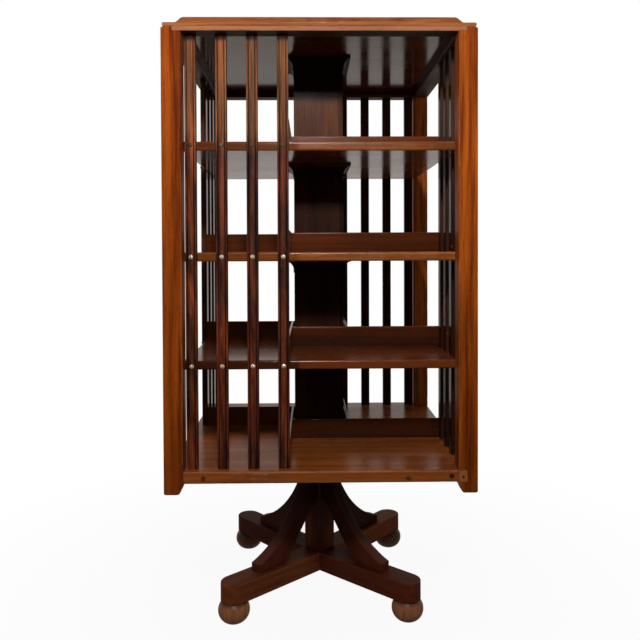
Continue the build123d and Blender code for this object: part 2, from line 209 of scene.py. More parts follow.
class BookcaseFinish(bpy.types.PropertyGroup):
    """Colours of the timber, its wear and the metal."""
    case_light: light_grain("Case", "posts and top", (0.310, 0.063, 0.0056))
    case_dark: dark_grain("Case", "posts and top", (0.100, 0.0142, 0.0013))
    # The rails' pale, pinkish colours are a painted sheen
    rail_light: light_grain("Rails", "top rails", (0.410, 0.165, 0.0780))
    rail_dark: dark_grain("Rails", "top rails", (0.220, 0.075, 0.0300))
    # The capping's colours, paler than the posts', are partly a painted highlight
    capping_light: light_grain("Capping", "capping", (0.455, 0.130, 0.0320))
    capping_dark: dark_grain("Capping", "capping", (0.147, 0.034, 0.0100))
    shelf_light: light_grain("Shelves", "shelves", (0.250, 0.062, 0.0120))
    shelf_dark: dark_grain("Shelves", "shelves", (0.078, 0.0150, 0.0034))
    slat_light: light_grain("Slats", "slats", (0.160, 0.0270, 0.0055))
    slat_dark: dark_grain("Slats", "slats", (0.020, 0.0028, 0.0008))
    column_light: light_grain("Column", "column", (0.095, 0.026, 0.0110))
    column_dark: dark_grain("Column", "column", (0.026, 0.0070, 0.0034))
    pedestal_light: light_grain("Pedestal", "arms and central post", (0.150, 0.036, 0.0115))
    pedestal_dark: dark_grain("Pedestal", "arms and central post", (0.066, 0.0130, 0.0050))
    # The braces' dark colours are painted shade under the case
    brace_light: light_grain("Braces", "braces", (0.035, 0.0064, 0.0029))
    brace_dark: dark_grain("Braces", "braces", (0.014, 0.0025, 0.0013))
    foot_light: light_grain("Feet", "bun feet", (0.285, 0.102, 0.0380))
    foot_dark: dark_grain("Feet", "bun feet", (0.120, 0.033, 0.0110))
    # Worn wood is also the colour of the painted sheen and highlights
    worn: colour("Worn wood", "Bare wood where the polish has gone", (0.420, 0.170, 0.0640))
    # Grime is also the colour of painted shade
    grime_and_shade: colour("Grime", "Old wax and dirt in the hollows", (0.010, 0.0040, 0.0026))
    brass: colour("Brass", "Rubbed brass of the screws", (0.800, 0.700, 0.5000))
    tarnish: colour("Tarnish", "Dark brass of the screws", (0.085, 0.048, 0.0220))
    iron: colour("Iron", "Oiled iron of the turning gear", (0.060, 0.056, 0.0520))


class BookcaseStage(bpy.types.PropertyGroup):
    """Camera, lamps and floor."""
    lens: FloatProperty(name="Lens", description="Focal length", default=38.78, unit="CAMERA")
    camera_place: FloatVectorProperty(name="Camera", description="Where the camera stands",
                                      default=(-0.02136, -1.63314, 0.78189),
                                      subtype="TRANSLATION")
    camera_turn: FloatVectorProperty(name="Camera turn", description="Pitch, roll and heading",
                                     default=[math.radians(a) for a in (-0.989, -0.208, -0.856)],
                                     subtype="EULER")
    camera_shift: FloatVectorProperty(name="Camera shift", description="Shift of the picture",
                                      default=(0.0003, -0.0891), size=2)
    key_power: power("Key lamp", "Power of the soft lamp over the camera", 21.0)
    key_size: length("Key lamp size", "Width of the soft lamp over the camera", 0.16)
    fill_power: power("Fill lamps", "Power of each lamp at the sides", 9.0)
    back_power: power("Back lamps", "Power of each lamp behind", 24.0)
    wide_size: length("Wide lamp size", "Width of the lamps at the sides and behind", 1.4)
    ambient: FloatProperty(name="Ambient", description="Strength of the light from all round",
                           default=0.045)
    floor_size: length("Floor size", "Side of the pale floor", 16.0)


# Outlines and profiles


def turned(angle):
    """A turn about the upright axis, in degrees."""
    return Matrix.Rotation(math.radians(angle), 4, "Z")


def clamped(value, low=0.0, high=1.0):
    """A value kept between two limits."""
    return min(high, max(low, value))


def arc(start, middle, end, steps):
    """Points on the arc from start through middle to end."""
    (ax, ay), (bx, by), (cx, cy) = start, middle, end
    a, b, c = ax * ax + ay * ay, bx * bx + by * by, cx * cx + cy * cy
    scale = 2 * (ax * (by - cy) + bx * (cy - ay) + cx * (ay - by))
    x = (a * (by - cy) + b * (cy - ay) + c * (ay - by)) / scale
    y = (a * (cx - bx) + b * (ax - cx) + c * (bx - ax)) / scale
    radius = math.hypot(ax - x, ay - y)
    first, via, last = (math.atan2(v - y, u - x) for u, v in (start, middle, end))
    sweep = (last - first) % math.tau
    if (via - first) % math.tau > sweep:
        sweep -= math.tau
    angles = [first + sweep * step / steps for step in range(steps + 1)]
    return [(x + radius * math.cos(angle), y + radius * math.sin(angle)) for angle in angles]


def bowed(start, end, rise):
    """The middle of an arc that stands off its chord by rise, to the left."""
    (ax, ay), (bx, by) = start, end
    span = math.hypot(bx - ax, by - ay)
    return (ax + bx) / 2 - (by - ay) / span * rise, (ay + by) / 2 + (bx - ax) / span * rise


def marks(start, end, step):
    """Evenly spaced stations from start to end, about a step apart."""
    count = max(1, round(abs(end - start) / step))
    return [start + (end - start) * n / count for n in range(count + 1)]


def eased(low, high, radius, steps=4):
    """Stations from low to high as (station, inset, crest), with both ends rounded."""
    swings = [math.pi / 2 * n / steps for n in range(steps + 1)]
    start = [(low + radius * (1 - math.cos(s)), radius * (1 - math.sin(s)), math.sin(2 * s))
             for s in swings]
    return start + [(low + high - station, inset, crest)
                    for station, inset, crest in reversed(start)]


def filled(ends, *steps):
    """Eased stations with flat ones added between their two ends."""
    half = len(ends) // 2
    between = [(station, 0.0, 0.0) for station in steps]
    return ends[:half] + between + ends[half:]


def straight_run(ends):
    """Where the flat between two eased ends starts and stops."""
    half = len(ends) // 2
    return ends[half - 1][0], ends[half][0]


def eased_section(u0, u1, v0, v1, radius, steps=4):
    """A rectangle with rounded corners as (u, v, crest), anticlockwise."""
    points = []
    corners = ((u1 - radius, v1 - radius), (u0 + radius, v1 - radius),
               (u0 + radius, v0 + radius), (u1 - radius, v0 + radius))
    for quarter, (u, v) in enumerate(corners):
        for step in range(steps + 1):
            swing = math.pi / 2 * (quarter + step / steps)
            crest = math.sin(math.pi * step / steps)
            points.append((u + radius * math.cos(swing), v + radius * math.sin(swing), crest))
    return points


def square_ring(half, level, crest):
    """Points round a square with small rounded corners, anticlockwise from the front left."""
    corner, usual_half = 0.0015, 0.28
    points = []
    reach = half - corner
    side = marks(-1, 1, POINT_STEP / usual_half)
    swings = [math.radians(degrees) for degrees in (30, 60)]
    for angle in SIDES.values():
        turn = turned(angle)
        edge = [Vector((reach * u, -half, level)) for u in side]
        bend = [Vector((reach + corner * math.sin(s), -reach - corner * math.cos(s), level))
                for s in swings]
        points += [(*(turn @ point), crest) for point in edge + bend]
    return points


def notched_ring(half, notch, level, crest, step):
    """Points round a square whose corners are cut out for the posts."""
    points = []
    for angle in SIDES.values():
        turn = turned(angle)
        edge = [Vector((x, -half, level)) for x in marks(-notch, notch, step)]
        points += [(*(turn @ point), crest) for point in edge]
        points.append((*(turn @ Vector((notch, -notch, level))), 0.0))
    return points


def squared_to(ring, half, level, crest=0.0):
    """The ring's points drawn in to a square hole."""
    return [(x * half / max(abs(x), abs(y)), y * half / max(abs(x), abs(y)), level, crest)
            for x, y, _, _ in ring]


def rounded_to(ring, radius, level, crest=0.0):
    """The ring's points drawn in to a round hole."""
    return [(x * radius / math.hypot(x, y), y * radius / math.hypot(x, y), level, crest)
            for x, y, _, _ in ring]


def round_ring(radius, level, crest=0.0, count=48):
    """Points round a circle."""
    turns = [math.tau * n / count for n in range(count)]
    return [(radius * math.cos(t), radius * math.sin(t), level, crest) for t in turns]


def inset_outline(points, inset):
    """An anticlockwise outline drawn in by inset."""
    sharpest = 0.5
    drawn = []
    for n, (x, y) in enumerate(points):
        ax, ay = points[n - 1]
        bx, by = points[(n + 1) % len(points)]
        before = Vector((ay - y, x - ax)).normalized()
        after = Vector((y - by, bx - x)).normalized()
        bisector = (before + after).normalized()
        reach = inset / max(sharpest, bisector.dot(before))
        drawn.append((x + bisector.x * reach, y + bisector.y * reach))
    return drawn


def closely_marked(points, step):
    """An outline with points added along its straight runs."""
    close = []
    for n, (x, y) in enumerate(points):
        bx, by = points[(n + 1) % len(points)]
        count = max(1, round(math.hypot(bx - x, by - y) / step))
        close += [(x + (bx - x) * k / count, y + (by - y) * k / count) for k in range(count)]
    return close


def upright(x0, x1, y0, y1, z0, z1, radius, step=POINT_STEP):
    """Rings of an upright stick with eased edges."""
    ends = eased(z0, z1, radius)
    rings = []
    for z, inset, end in filled(ends, *marks(*straight_run(ends), step)[1:-1]):
        section = eased_section(x0 + inset, x1 - inset, y0 + inset, y1 - inset, radius)
        rings.append([(x, y, z, max(crest, end)) for x, y, crest in section])
    return rings


def lying(x0, x1, section):
    """Rings of a bar that lies along X, from its section in Y and Z."""
    return [[(x, y, z, crest) for y, z, crest in section] for x in marks(x0, x1, POINT_STEP)]


def mitred(section):
    """Rings of a front strip that meets its neighbours on the diagonals."""
    reach = max(abs(y) for y, _, _ in section)
    return [[(t * abs(y), y, z, crest) for y, z, crest in section]
            for t in marks(-1, 1, POINT_STEP / reach)]


# Making and settling pieces


class Timber:
    """A wooden piece in the making, whose points carry their grain, tone and crest."""

    def __init__(self, name, seed, nicks=0.0):
        self.name = name
        self.nicks = nicks
        self.draw = random.Random(seed)
        self.mesh = bmesh.new()
        layers = self.mesh.verts.layers
        self.grain = layers.float_vector.new("grain")
        self.tone = layers.float.new("tone")
        self.crest = layers.float.new("crest")

    def grain_shift(self):
        """A chance place in the log, so that no two boards have the same figure."""
        return Vector([self.draw.uniform(-GRAIN_SPREAD, GRAIN_SPREAD) for _ in range(3)])

    def board(self, rings, axes, place=Matrix(), holed=False, tone=None):
        """Skin rings of (x, y, z, crest), and close both ends unless they run round a hole."""
        shift = self.grain_shift()
        drawn = self.draw.random()
        tone = drawn if tone is None else tone
        loops = []
        for ring in rings:
            loops.append([])
            for x, y, z, crest in ring:
                point = Vector((x, y, z))
                vert = self.mesh.verts.new(place @ point)
                vert[self.grain] = axes @ point + shift
                vert[self.tone] = tone
                vert[self.crest] = crest
                loops[-1].append(vert)
        nexts = loops[1:] + loops[:1] if holed else loops[1:]
        for low, high in zip(loops, nexts):
            for n in range(len(low)):
                self.mesh.faces.new((low[n - 1], low[n], high[n], high[n - 1]))
        if not holed:
            self.mesh.faces.new(loops[0][::-1])
            self.mesh.faces.new(loops[-1])

    def from_node(self, node, axes, place, tone):
        """Take the shape of a CAD node, merged."""
        self.mesh.from_mesh(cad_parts[node].data)
        layers = self.mesh.verts.layers
        self.grain = layers.float_vector["grain"]
        self.tone, self.crest = layers.float["tone"], layers.float["crest"]
        shift = self.grain_shift()
        back = place.inverted()
        for vert in self.mesh.verts:
            vert[self.grain] = axes @ (back @ vert.co) + shift
            vert[self.tone] = tone
        bmesh.ops.remove_doubles(self.mesh, verts=self.mesh.verts, dist=SAME_POINT)

    def wear(self, change):
        """Add to the crest what a function of the place gives: paler above nought, darker below,
        for wear and dirt and for painted light and shade.
        """
        for vert in self.mesh.verts:
            vert[self.crest] = clamped(vert[self.crest] + change(vert.co), -1.0, 1.0)

    def split(self, heading, stations):
        """Cut the faces across a heading at each station, so that the piece can bend."""
        for station in stations:
            parts = self.mesh.verts[:] + self.mesh.edges[:] + self.mesh.faces[:]
            bmesh.ops.bisect_plane(self.mesh, geom=parts, plane_co=heading * station,
                                   plane_no=heading, dist=SAME_POINT)

    def sink(self, drop, reach, level, fade):
        """Lower the points near the axis, fully up to a level and less above it."""
        for vert in self.mesh.verts:
            near = max(0.0, 1.0 - math.hypot(vert.co.x, vert.co.y) / reach)
            vert.co.z -= drop * near * clamped(1.0 - (vert.co.z - level) / fade)

    def nick(self):
        """Press small dents into the crests."""
        worn, broad, small, share, depth = 0.5, 37.0, 95.0, 0.6, 0.25
        for vert in self.mesh.verts:
            if vert[self.crest] > worn:
                bite = noise.noise(vert.co * broad) + share * noise.noise(vert.co * small)
                vert.co -= vert.normal * self.nicks * clamped(bite - depth)

    def finish(self, material, body, slot, *nodes):
        """Turn the points into a piece of the bookcase."""
        bmesh.ops.recalc_face_normals(self.mesh, faces=self.mesh.faces)
        self.mesh.normal_update()
        if self.nicks:
            self.nick()
        data = bpy.data.meshes.new(self.name)
        self.mesh.to_mesh(data)
        self.mesh.free()
        # Normals that come with a CAD node no longer fit its bent copy
        if data.has_custom_normals:
            data.attributes.remove(data.attributes["custom_normal"])
        data.materials.append(material)
        piece = new_piece(self.name, data)
        smooth(piece)
        return settle(piece, body, slot, *nodes)


def new_piece(name, data):
    """An object in the scene that holds a mesh."""
    piece = bpy.data.objects.new(name, data)
    bpy.context.scene.collection.objects.link(piece)
    return piece


def smooth(piece):
    """Shade a wooden piece smooth, with its sharp edges kept and its flats even."""
    piece.data.shade_smooth()
    piece.data.set_sharp_from_angle(angle=SHARP_WOOD)
    piece.modifiers.new("even_shading", "WEIGHTED_NORMAL").keep_sharp = True
    make_plain(piece)


def make_plain(piece):
    """Turn a piece and its modifiers into a plain mesh."""
    graph = bpy.context.evaluated_depsgraph_get()
    data = bpy.data.meshes.new_from_object(piece.evaluated_get(graph),
                                           preserve_all_data_layers=True, depsgraph=graph)
    piece.modifiers.clear()
    rough = piece.data
    piece.data = data
    bpy.data.meshes.remove(rough)
    data.name = piece.name
    if not data.polygons:
        raise RuntimeError(piece.name + " came out empty")


def settle(piece, body, slot, *nodes):
    """Put a finished piece on its body, in place of the nodes that it stands for."""
    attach(piece, body)
    if nodes:
        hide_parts(*nodes)
    return piece


# Node trees


class Nodes:
    """Short calls for building a node tree."""

    def __init__(self, tree):
        self.tree = tree

    def add(self, kind, inputs=None, **settings):
        """Add a node, with its settings and its inputs by name or number."""
        made = self.tree.nodes.new(kind)
        for setting, value in settings.items():
            setattr(made, setting, value)
        for socket, value in (inputs or {}).items():
            if isinstance(value, bpy.types.NodeSocket):
                self.tree.links.new(value, made.inputs[socket])
            else:
                made.inputs[socket].default_value = value
        return made

    def attribute(self, name, output="Fac"):
        """A value that the mesh carries on its points."""
        return self.add("ShaderNodeAttribute", attribute_name=name).outputs[output]

    def place(self):
        """The place on the piece, in the frame's own coordinates."""
        return self.add("ShaderNodeTexCoord").outputs["Object"]

    def parts(self, vector):
        """The three parts of a vector."""
        return self.add("ShaderNodeSeparateXYZ", {0: vector}).outputs

    def vector(self, x=0.0, y=0.0, z=0.0):
        """A vector from its three parts."""
        return self.add("ShaderNodeCombineXYZ", {0: x, 1: y, 2: z}).outputs[0]

    def math(self, operation, first, second=0.0, clamp=False):
        """The result of a sum on two values."""
        return self.add("ShaderNodeMath", {0: first, 1: second}, operation=operation,
                        use_clamp=clamp).outputs[0]

    def times(self, first, second, clamp=False):
        """One value times another."""
        return self.math("MULTIPLY", first, second, clamp)

    def plus(self, total, value, share):
        """A total with a share of a value added."""
        return self.math("ADD", total, self.times(value, share))

    def minus(self, total, value, share):
        """A total with a share of a value taken away."""
        return self.math("SUBTRACT", total, self.times(value, share))

    def remap(self, value, low, high, to_low=0.0, to_high=1.0):
        """A value moved from one range to another, kept within it."""
        ranges = {0: value, 1: low, 2: high, 3: to_low, 4: to_high}
        return self.add("ShaderNodeMapRange", ranges).outputs[0]

    def shifted(self, vector, by, operation="ADD"):
        """Coordinates with a vector added, taken away or multiplied."""
        return self.add("ShaderNodeVectorMath", {0: vector, 1: by}, operation=operation).outputs[0]

    def stretched(self, vector, scale):
        """Coordinates stretched by a scale on each axis."""
        return self.shifted(vector, scale, "MULTIPLY")

    def cloud(self, vector, scale, detail=2.0, roughness=0.5, output=0):
        """Noise over stretched coordinates."""
        return self.add("ShaderNodeTexNoise", {
            "Vector": self.stretched(vector, scale), "Scale": 1.0, "Detail": detail,
            "Roughness": roughness}).outputs[output]

    def mixed(self, factor, first, second):
        """Two colours mixed by a factor."""
        return self.add("ShaderNodeMix", {0: factor, 6: first, 7: second},
                        data_type="RGBA").outputs[2]

    def bump(self, relief, strength, depth):
        """Normals bent by a relief."""
        return self.add("ShaderNodeBump", {"Strength": strength, "Distance": depth,
                                           "Height": relief}).outputs[0]

    def surface(self, output, inputs):
        """A finished surface, joined to the output."""
        shader = self.add("ShaderNodeBsdfPrincipled", inputs)
        self.tree.links.new(shader.outputs[0], output.inputs[0])


def new_material(name):
    """An empty node material with an output."""
    material = bpy.data.materials.new(name)
    material.use_nodes = True
    material.node_tree.nodes.clear()
    nodes = Nodes(material.node_tree)
    return material, nodes, nodes.add("ShaderNodeOutputMaterial")


def opaque(tint, share=1.0):
    """A share of a colour, with its alpha."""
    return (*[share * part for part in tint], 1.0)


def grain_figure(nodes, grain, contrast):
    """Fibres that wander, their fine streaks, and the figure of streaks and year rings."""
    drift = nodes.cloud(grain, (1.6, 7.0, 7.0), output="Color")
    drift = nodes.shifted(drift, (0.5, 0.5, 0.5), "SUBTRACT")
    drift = nodes.stretched(drift, (0.0, 0.030, 0.030))
    fibres = nodes.shifted(grain, drift)
    streak = nodes.cloud(fibres, (2.4, 75.0, 75.0), 4.0, 0.6)
    fine = nodes.cloud(fibres, (5.0, 230.0, 230.0), 4.0, 0.7)
    rings = nodes.add("ShaderNodeTexWave", {
        "Vector": nodes.stretched(fibres, (0.10, 1.0, 1.0)), "Scale": 16.0, "Distortion": 5.0,
        "Detail": 2.0, "Detail Scale": 2.0}, wave_type="RINGS", rings_direction="X")
    figure = nodes.plus(nodes.times(streak, 0.42), fine, 0.46)
    figure = nodes.plus(figure, rings.outputs["Fac"], 0.12)
    return fibres, fine, nodes.remap(figure, 0.5 - contrast, 0.5 + contrast)


def flame(nodes, fibres, strength):
    """Lights and darks that slant across the fibres."""
    along, across, through = nodes.parts(fibres)
    slant = nodes.vector(nodes.plus(along, across, 3.5), across, through)
    lights = nodes.cloud(slant, (11.0, 26.0, 26.0), 3.0, 0.55)
    return nodes.remap(lights, 0.38, 0.62, 1.0 - strength, 1.0 + strength)


def joined_planks(nodes, grain, width, value):
    """The value of a board glued up from planks, each of its own shade, with dark joints."""
    plank = nodes.math("DIVIDE", nodes.parts(grain)[1], width)
    shade = nodes.add("ShaderNodeTexWhiteNoise", {"W": nodes.math("FLOOR", plank)},
                      noise_dimensions="1D").outputs["Value"]
    value = nodes.times(value, nodes.remap(shade, 0.0, 1.0, 0.84, 1.12))
    joint = nodes.math("PINGPONG", plank, 0.5)
    return nodes.times(value, nodes.remap(joint, 0.0, 0.004, 0.55, 1.0))


def polished_wood(name, light, dark, polish, gloss, wear, planks=0.0, painted_shading=None, painted_sheen=0.0,
                  painted_shadow=None, contrast=0.16, flamed=0.0, backs=None, carved=True):
    """Figured wood under old polish, paler on worn crests and dark in hollows and pores.

    painted_shading gives two heights and the values there, painted light and shade that change
    with height; painted_sheen the share of bare wood at the upper height, a painted sheen;
    painted_shadow two heights between which a painted shadow sets in; and backs the roughness
    of the slats' backs.
    """
    known = bpy.data.materials.get(name)
    if known:
        return known
    shades = bpy.context.scene.bookcase_finish
    material, nodes, output = new_material(name)
    if carved:
        grain = nodes.attribute("grain", "Vector")
        tone, crest = nodes.attribute("tone"), nodes.attribute("crest")
    else:
        grain, tone, crest = nodes.place(), 0.5, 0.0
    fibres, fine, figure = grain_figure(nodes, grain, contrast)
    tint = nodes.mixed(figure, opaque(dark), opaque(light))

    # Patina, tone and the painted light and shade along a piece
    patina = nodes.remap(nodes.cloud(grain, (3.0, 9.0, 9.0), 3.0), 0.3, 0.7, 0.72, 1.16)
    value = nodes.times(patina, nodes.remap(tone, 0.0, 1.0, 0.55, 1.45))
    height = nodes.parts(nodes.place())[2]
    # Painted shading: lighter or darker with height
    if painted_shading:
        value = nodes.times(value, nodes.remap(height, *painted_shading))
    if flamed:
        value = nodes.times(value, flame(nodes, fibres, flamed))
    if planks:
        value = joined_planks(nodes, grain, planks, value)
    hue = nodes.remap(tone, 0.0, 1.0, 0.494, 0.506)
    tint = nodes.add("ShaderNodeHueSaturation", {"Hue": hue, "Value": value,
                                                 "Color": tint}).outputs[0]

    # Pores, bare wood, painted sheen, dirt, painted shade and dents
    pores = nodes.remap(nodes.cloud(fibres, (60.0, 1500.0, 1500.0), 1.0), 0.62, 0.74)
    tint = nodes.mixed(nodes.times(pores, 0.7), tint, opaque(shades.grime_and_shade))
    rubbed = nodes.remap(nodes.cloud(grain, (28.0, 70.0, 70.0), 3.0, 0.65), 0.34, 0.66)
    bare = nodes.times(nodes.times(crest, rubbed, clamp=True), wear, clamp=True)
    # Painted sheen: bare wood mixed in towards the upper height
    if painted_sheen:
        bare = nodes.math("MAXIMUM", bare, nodes.remap(height, *painted_shading[:2], 0.0, painted_sheen))
    worn = nodes.mixed(nodes.remap(fine, 0.38, 0.60), opaque(shades.worn, 0.3),
                       opaque(shades.worn))
    tint = nodes.mixed(bare, tint, worn)
    # Darker where the crest is below nought: dirt, and painted shade on some pieces
    hollow = nodes.times(crest, -0.9, clamp=True)
    # Painted shadow between two heights
    if painted_shadow:
        hollow = nodes.math("MAXIMUM", hollow, nodes.remap(height, *painted_shadow, 0.0, 0.93))
    tint = nodes.mixed(hollow, tint, opaque(shades.grime_and_shade))
    dents = nodes.remap(nodes.cloud(grain, (140.0, 260.0, 260.0), 1.0), 0.755, 0.80)
    tint = nodes.mixed(nodes.times(dents, 0.35), tint, opaque(shades.worn))

    # Polish and relief
    handled = nodes.cloud(grain, (6.0, 14.0, 14.0), 4.0)
    rough = nodes.remap(handled, 0.3, 0.7, 0.8 * polish, 1.25 * polish)
    rough = nodes.plus(rough, bare, 0.22)
    rough = nodes.plus(rough, nodes.math("MAXIMUM", crest, 0.0), 0.15)
    rough = nodes.plus(rough, pores, 0.15)
    if backs:
        rough = nodes.remap(crest, SLAT_BACK + 0.01, SLAT_BACK + 0.04, backs, rough)
    sway = nodes.cloud(grain, (5.0, 16.0, 16.0), 1.0)
    relief = nodes.plus(nodes.times(sway, 0.9), fine, 0.10)
    relief = nodes.minus(relief, pores, 0.10)
    relief = nodes.minus(relief, dents, 0.25)
    nodes.surface(output, {"Base Color": tint, "Roughness": rough,
                           "Normal": nodes.bump(relief, 0.25, 0.001),
                           "Specular IOR Level": gloss})
    return material


def aged_metal(name, bright, dull, polish):
    """Rubbed metal, dull in its hollows, brighter piece by piece with its tone."""
    known = bpy.data.materials.get(name)
    if known:
        return known
    material, nodes, output = new_material(name)
    place = nodes.place()
    tone, crest = nodes.attribute("tone"), nodes.attribute("crest")
    mottle = nodes.cloud(place, (420.0, 420.0, 420.0), 4.0, 0.65)
    rub = nodes.plus(nodes.times(mottle, 0.9), tone, 0.75)
    rub = nodes.remap(nodes.plus(rub, crest, 0.55), 0.45, 1.15)
    tint = nodes.mixed(rub, opaque(dull), opaque(bright))
    rough = nodes.remap(rub, 0.0, 1.0, polish + 0.25, polish)
    scratches = nodes.cloud(place, (300.0, 2600.0, 900.0), 2.0)
    nodes.surface(output, {"Base Color": tint, "Roughness": rough,
                           "Normal": nodes.bump(scratches, 0.2, 0.0002), "Metallic": 0.6})
    return material


# Polish is the roughness, gloss the specular level and wear the share of bare wood on a crest
WOODS = {
    # Posts, paler towards the top and darker towards the foot: painted light and shade
    "case": dict(name="polished_case_wood", polish=0.36, gloss=0.03, wear=0.6,
                 painted_shading=(0.35, 1.15, 0.74, 1.40), contrast=0.12),
    # Top rails, dull, and pale and pinkish with a painted sheen
    "rail": dict(name="rubbed_rail_wood", polish=0.5, gloss=0.10, wear=0.3, contrast=0.25),
    # Capping, golden brown, worn pale along its edge, partly a painted highlight
    "capping": dict(name="rubbed_capping_wood", polish=0.4, gloss=0.04, wear=0.6, contrast=0.13),
    # Shelves, stops and old repairs
    "shelf": dict(name="polished_shelf_wood", polish=0.16, gloss=0.22, wear=0.6, planks=0.19,
                  contrast=0.30),
    # Bottom board, rubbed by books
    "bottom": dict(name="rubbed_bottom_wood", tint="shelf", polish=0.21, gloss=0.14, wear=0.6,
                   planks=0.19, contrast=0.30),
    # Top board, bright enough to mirror what is under it
    "top": dict(name="polished_top_wood", tint="case", polish=0.14, gloss=0.24, wear=0.9,
                planks=0.22),
    # Slats, flamed, with painted light and sheen in the top tier
    # and a painted shadow under the rails
    "slat": dict(name="polished_slat_wood", polish=0.50, gloss=0.13, wear=0.4,
                 painted_shading=(0.965, 1.025, 1.0, 1.4), painted_sheen=0.50,
                 painted_shadow=(RAIL_LOW.z - 0.016, RAIL_LOW.z - 0.009), contrast=0.10, flamed=0.65,
                 backs=0.12),
    # Column, with painted shade below the top tier, a faint painted sheen in it and a painted
    # shadow under the top
    "column": dict(name="polished_column_wood", polish=0.40, gloss=0.05, wear=0.4,
                   painted_shading=(0.97, 1.02, 0.32, 1.0), painted_sheen=0.05, painted_shadow=(1.122, 1.134),
                   contrast=0.25),
    # Arms and central post
    "pedestal": dict(name="polished_pedestal_wood", polish=0.50, gloss=0.04, wear=0.08,
                     contrast=0.28),
    # Braces, darker than the arms and nearly black at their upper ends: painted shade under the
    # case
    "brace": dict(name="polished_brace_wood", polish=0.45, gloss=0.04, wear=0.06,
                  painted_shading=(0.10, 0.24, 1.9, 0.6), contrast=0.3),
    # Bun feet, with painted shade at their necks and soles and on the back pair
    "foot": dict(name="worn_foot_wood", polish=0.42, gloss=0.22, wear=0.45, contrast=0.3),
    # Bridge over the pivot, left from the saw
    "bridge": dict(name="sawn_bridge_wood", tint="column", polish=0.6, gloss=0.2, wear=0.0,
                   carved=False),
}


def wood(kind):
    """The finish of a kind of wooden piece, in the colours that the user gave."""
    finish = dict(WOODS[kind])
    tint = finish.pop("tint", kind)
    shades = bpy.context.scene.bookcase_finish
    return polished_wood(light=getattr(shades, tint + "_light"),
                         dark=getattr(shades, tint + "_dark"), **finish)


def rubbed_brass():
    """Aged brass of the screws and the bush."""
    shades = bpy.context.scene.bookcase_finish
    return aged_metal("aged_brass", shades.brass, shades.tarnish, 0.36)


def oiled_iron():
    """Oiled iron of the turning gear, brighter where it is rubbed."""
    shades = bpy.context.scene.bookcase_finish
    return aged_metal("oiled_iron", [4 * part for part in shades.iron], shades.iron, 0.38)


# Geometry Nodes


def geometry_tree(name, sizes):
    """An empty tree with a mesh, named sizes, a seed and a material as its inputs."""
    tree = bpy.data.node_groups.new(name, "GeometryNodeTree")
    for way in ("OUTPUT", "INPUT"):
        tree.interface.new_socket("Geometry", in_out=way, socket_type="NodeSocketGeometry")
    inputs = {**sizes, "Seed": "NodeSocketInt", "Material": "NodeSocketMaterial"}
    for size, kind in inputs.items():
        tree.interface.new_socket(size, in_out="INPUT", socket_type=kind)
    nodes = Nodes(tree)
    return nodes, nodes.add("NodeGroupInput").outputs, nodes.add("NodeGroupOutput")


def close_tree(nodes, geometry, given, output):
    """Give the geometry its material and join it to the tree's output."""
    made = nodes.add("GeometryNodeSetMaterial", {"Geometry": geometry,
                                                 "Material": given["Material"]})
    nodes.tree.links.new(made.outputs[0], output.inputs[0])
    return nodes.tree


def row_of(nodes, count, start, stride):
    """Points in a row."""
    return nodes.add("GeometryNodeMeshLine", {"Count": count, "Start Location": start,
                                              "Offset": stride}).outputs[0]


def set_out(nodes, points, instance, turn=None):
    """A shape repeated on points."""
    inputs = {"Points": points, "Instance": instance}
    if turn:
        inputs["Rotation"] = turn
    return nodes.add("GeometryNodeInstanceOnPoints", inputs).outputs[0]


def round_the_case(nodes, geometry):
    """The front's pieces repeated on all four faces, as plain geometry."""
    spots = nodes.add("GeometryNodeMeshLine", {"Count": len(SIDES), "Offset": (0.0, 0.0, 0.0)})
    angle = nodes.times(nodes.add("GeometryNodeInputIndex").outputs[0], math.pi / 2)
    faces = set_out(nodes, spots.outputs[0], geometry, nodes.vector(z=angle))
    return nodes.add("GeometryNodeRealizeInstances", {0: faces}).outputs[0]


def stored(nodes, geometry, name, value, kind="FLOAT"):
    """Geometry with a value kept on its points."""
    return nodes.add("GeometryNodeStoreNamedAttribute", {
        "Geometry": geometry, "Name": name, "Value": value},
        data_type=kind, domain="POINT").outputs[0]


def island_number(nodes):
    """The number of each separate shape."""
    return nodes.add("GeometryNodeInputMeshIsland").outputs[0]


def drawn_tone(nodes, seed):
    """A chance value for each separate shape."""
    return nodes.add("FunctionNodeRandomValue", {2: 0.0, 3: 1.0, 7: island_number(nodes), 8: seed},
                     data_type="FLOAT").outputs[1]


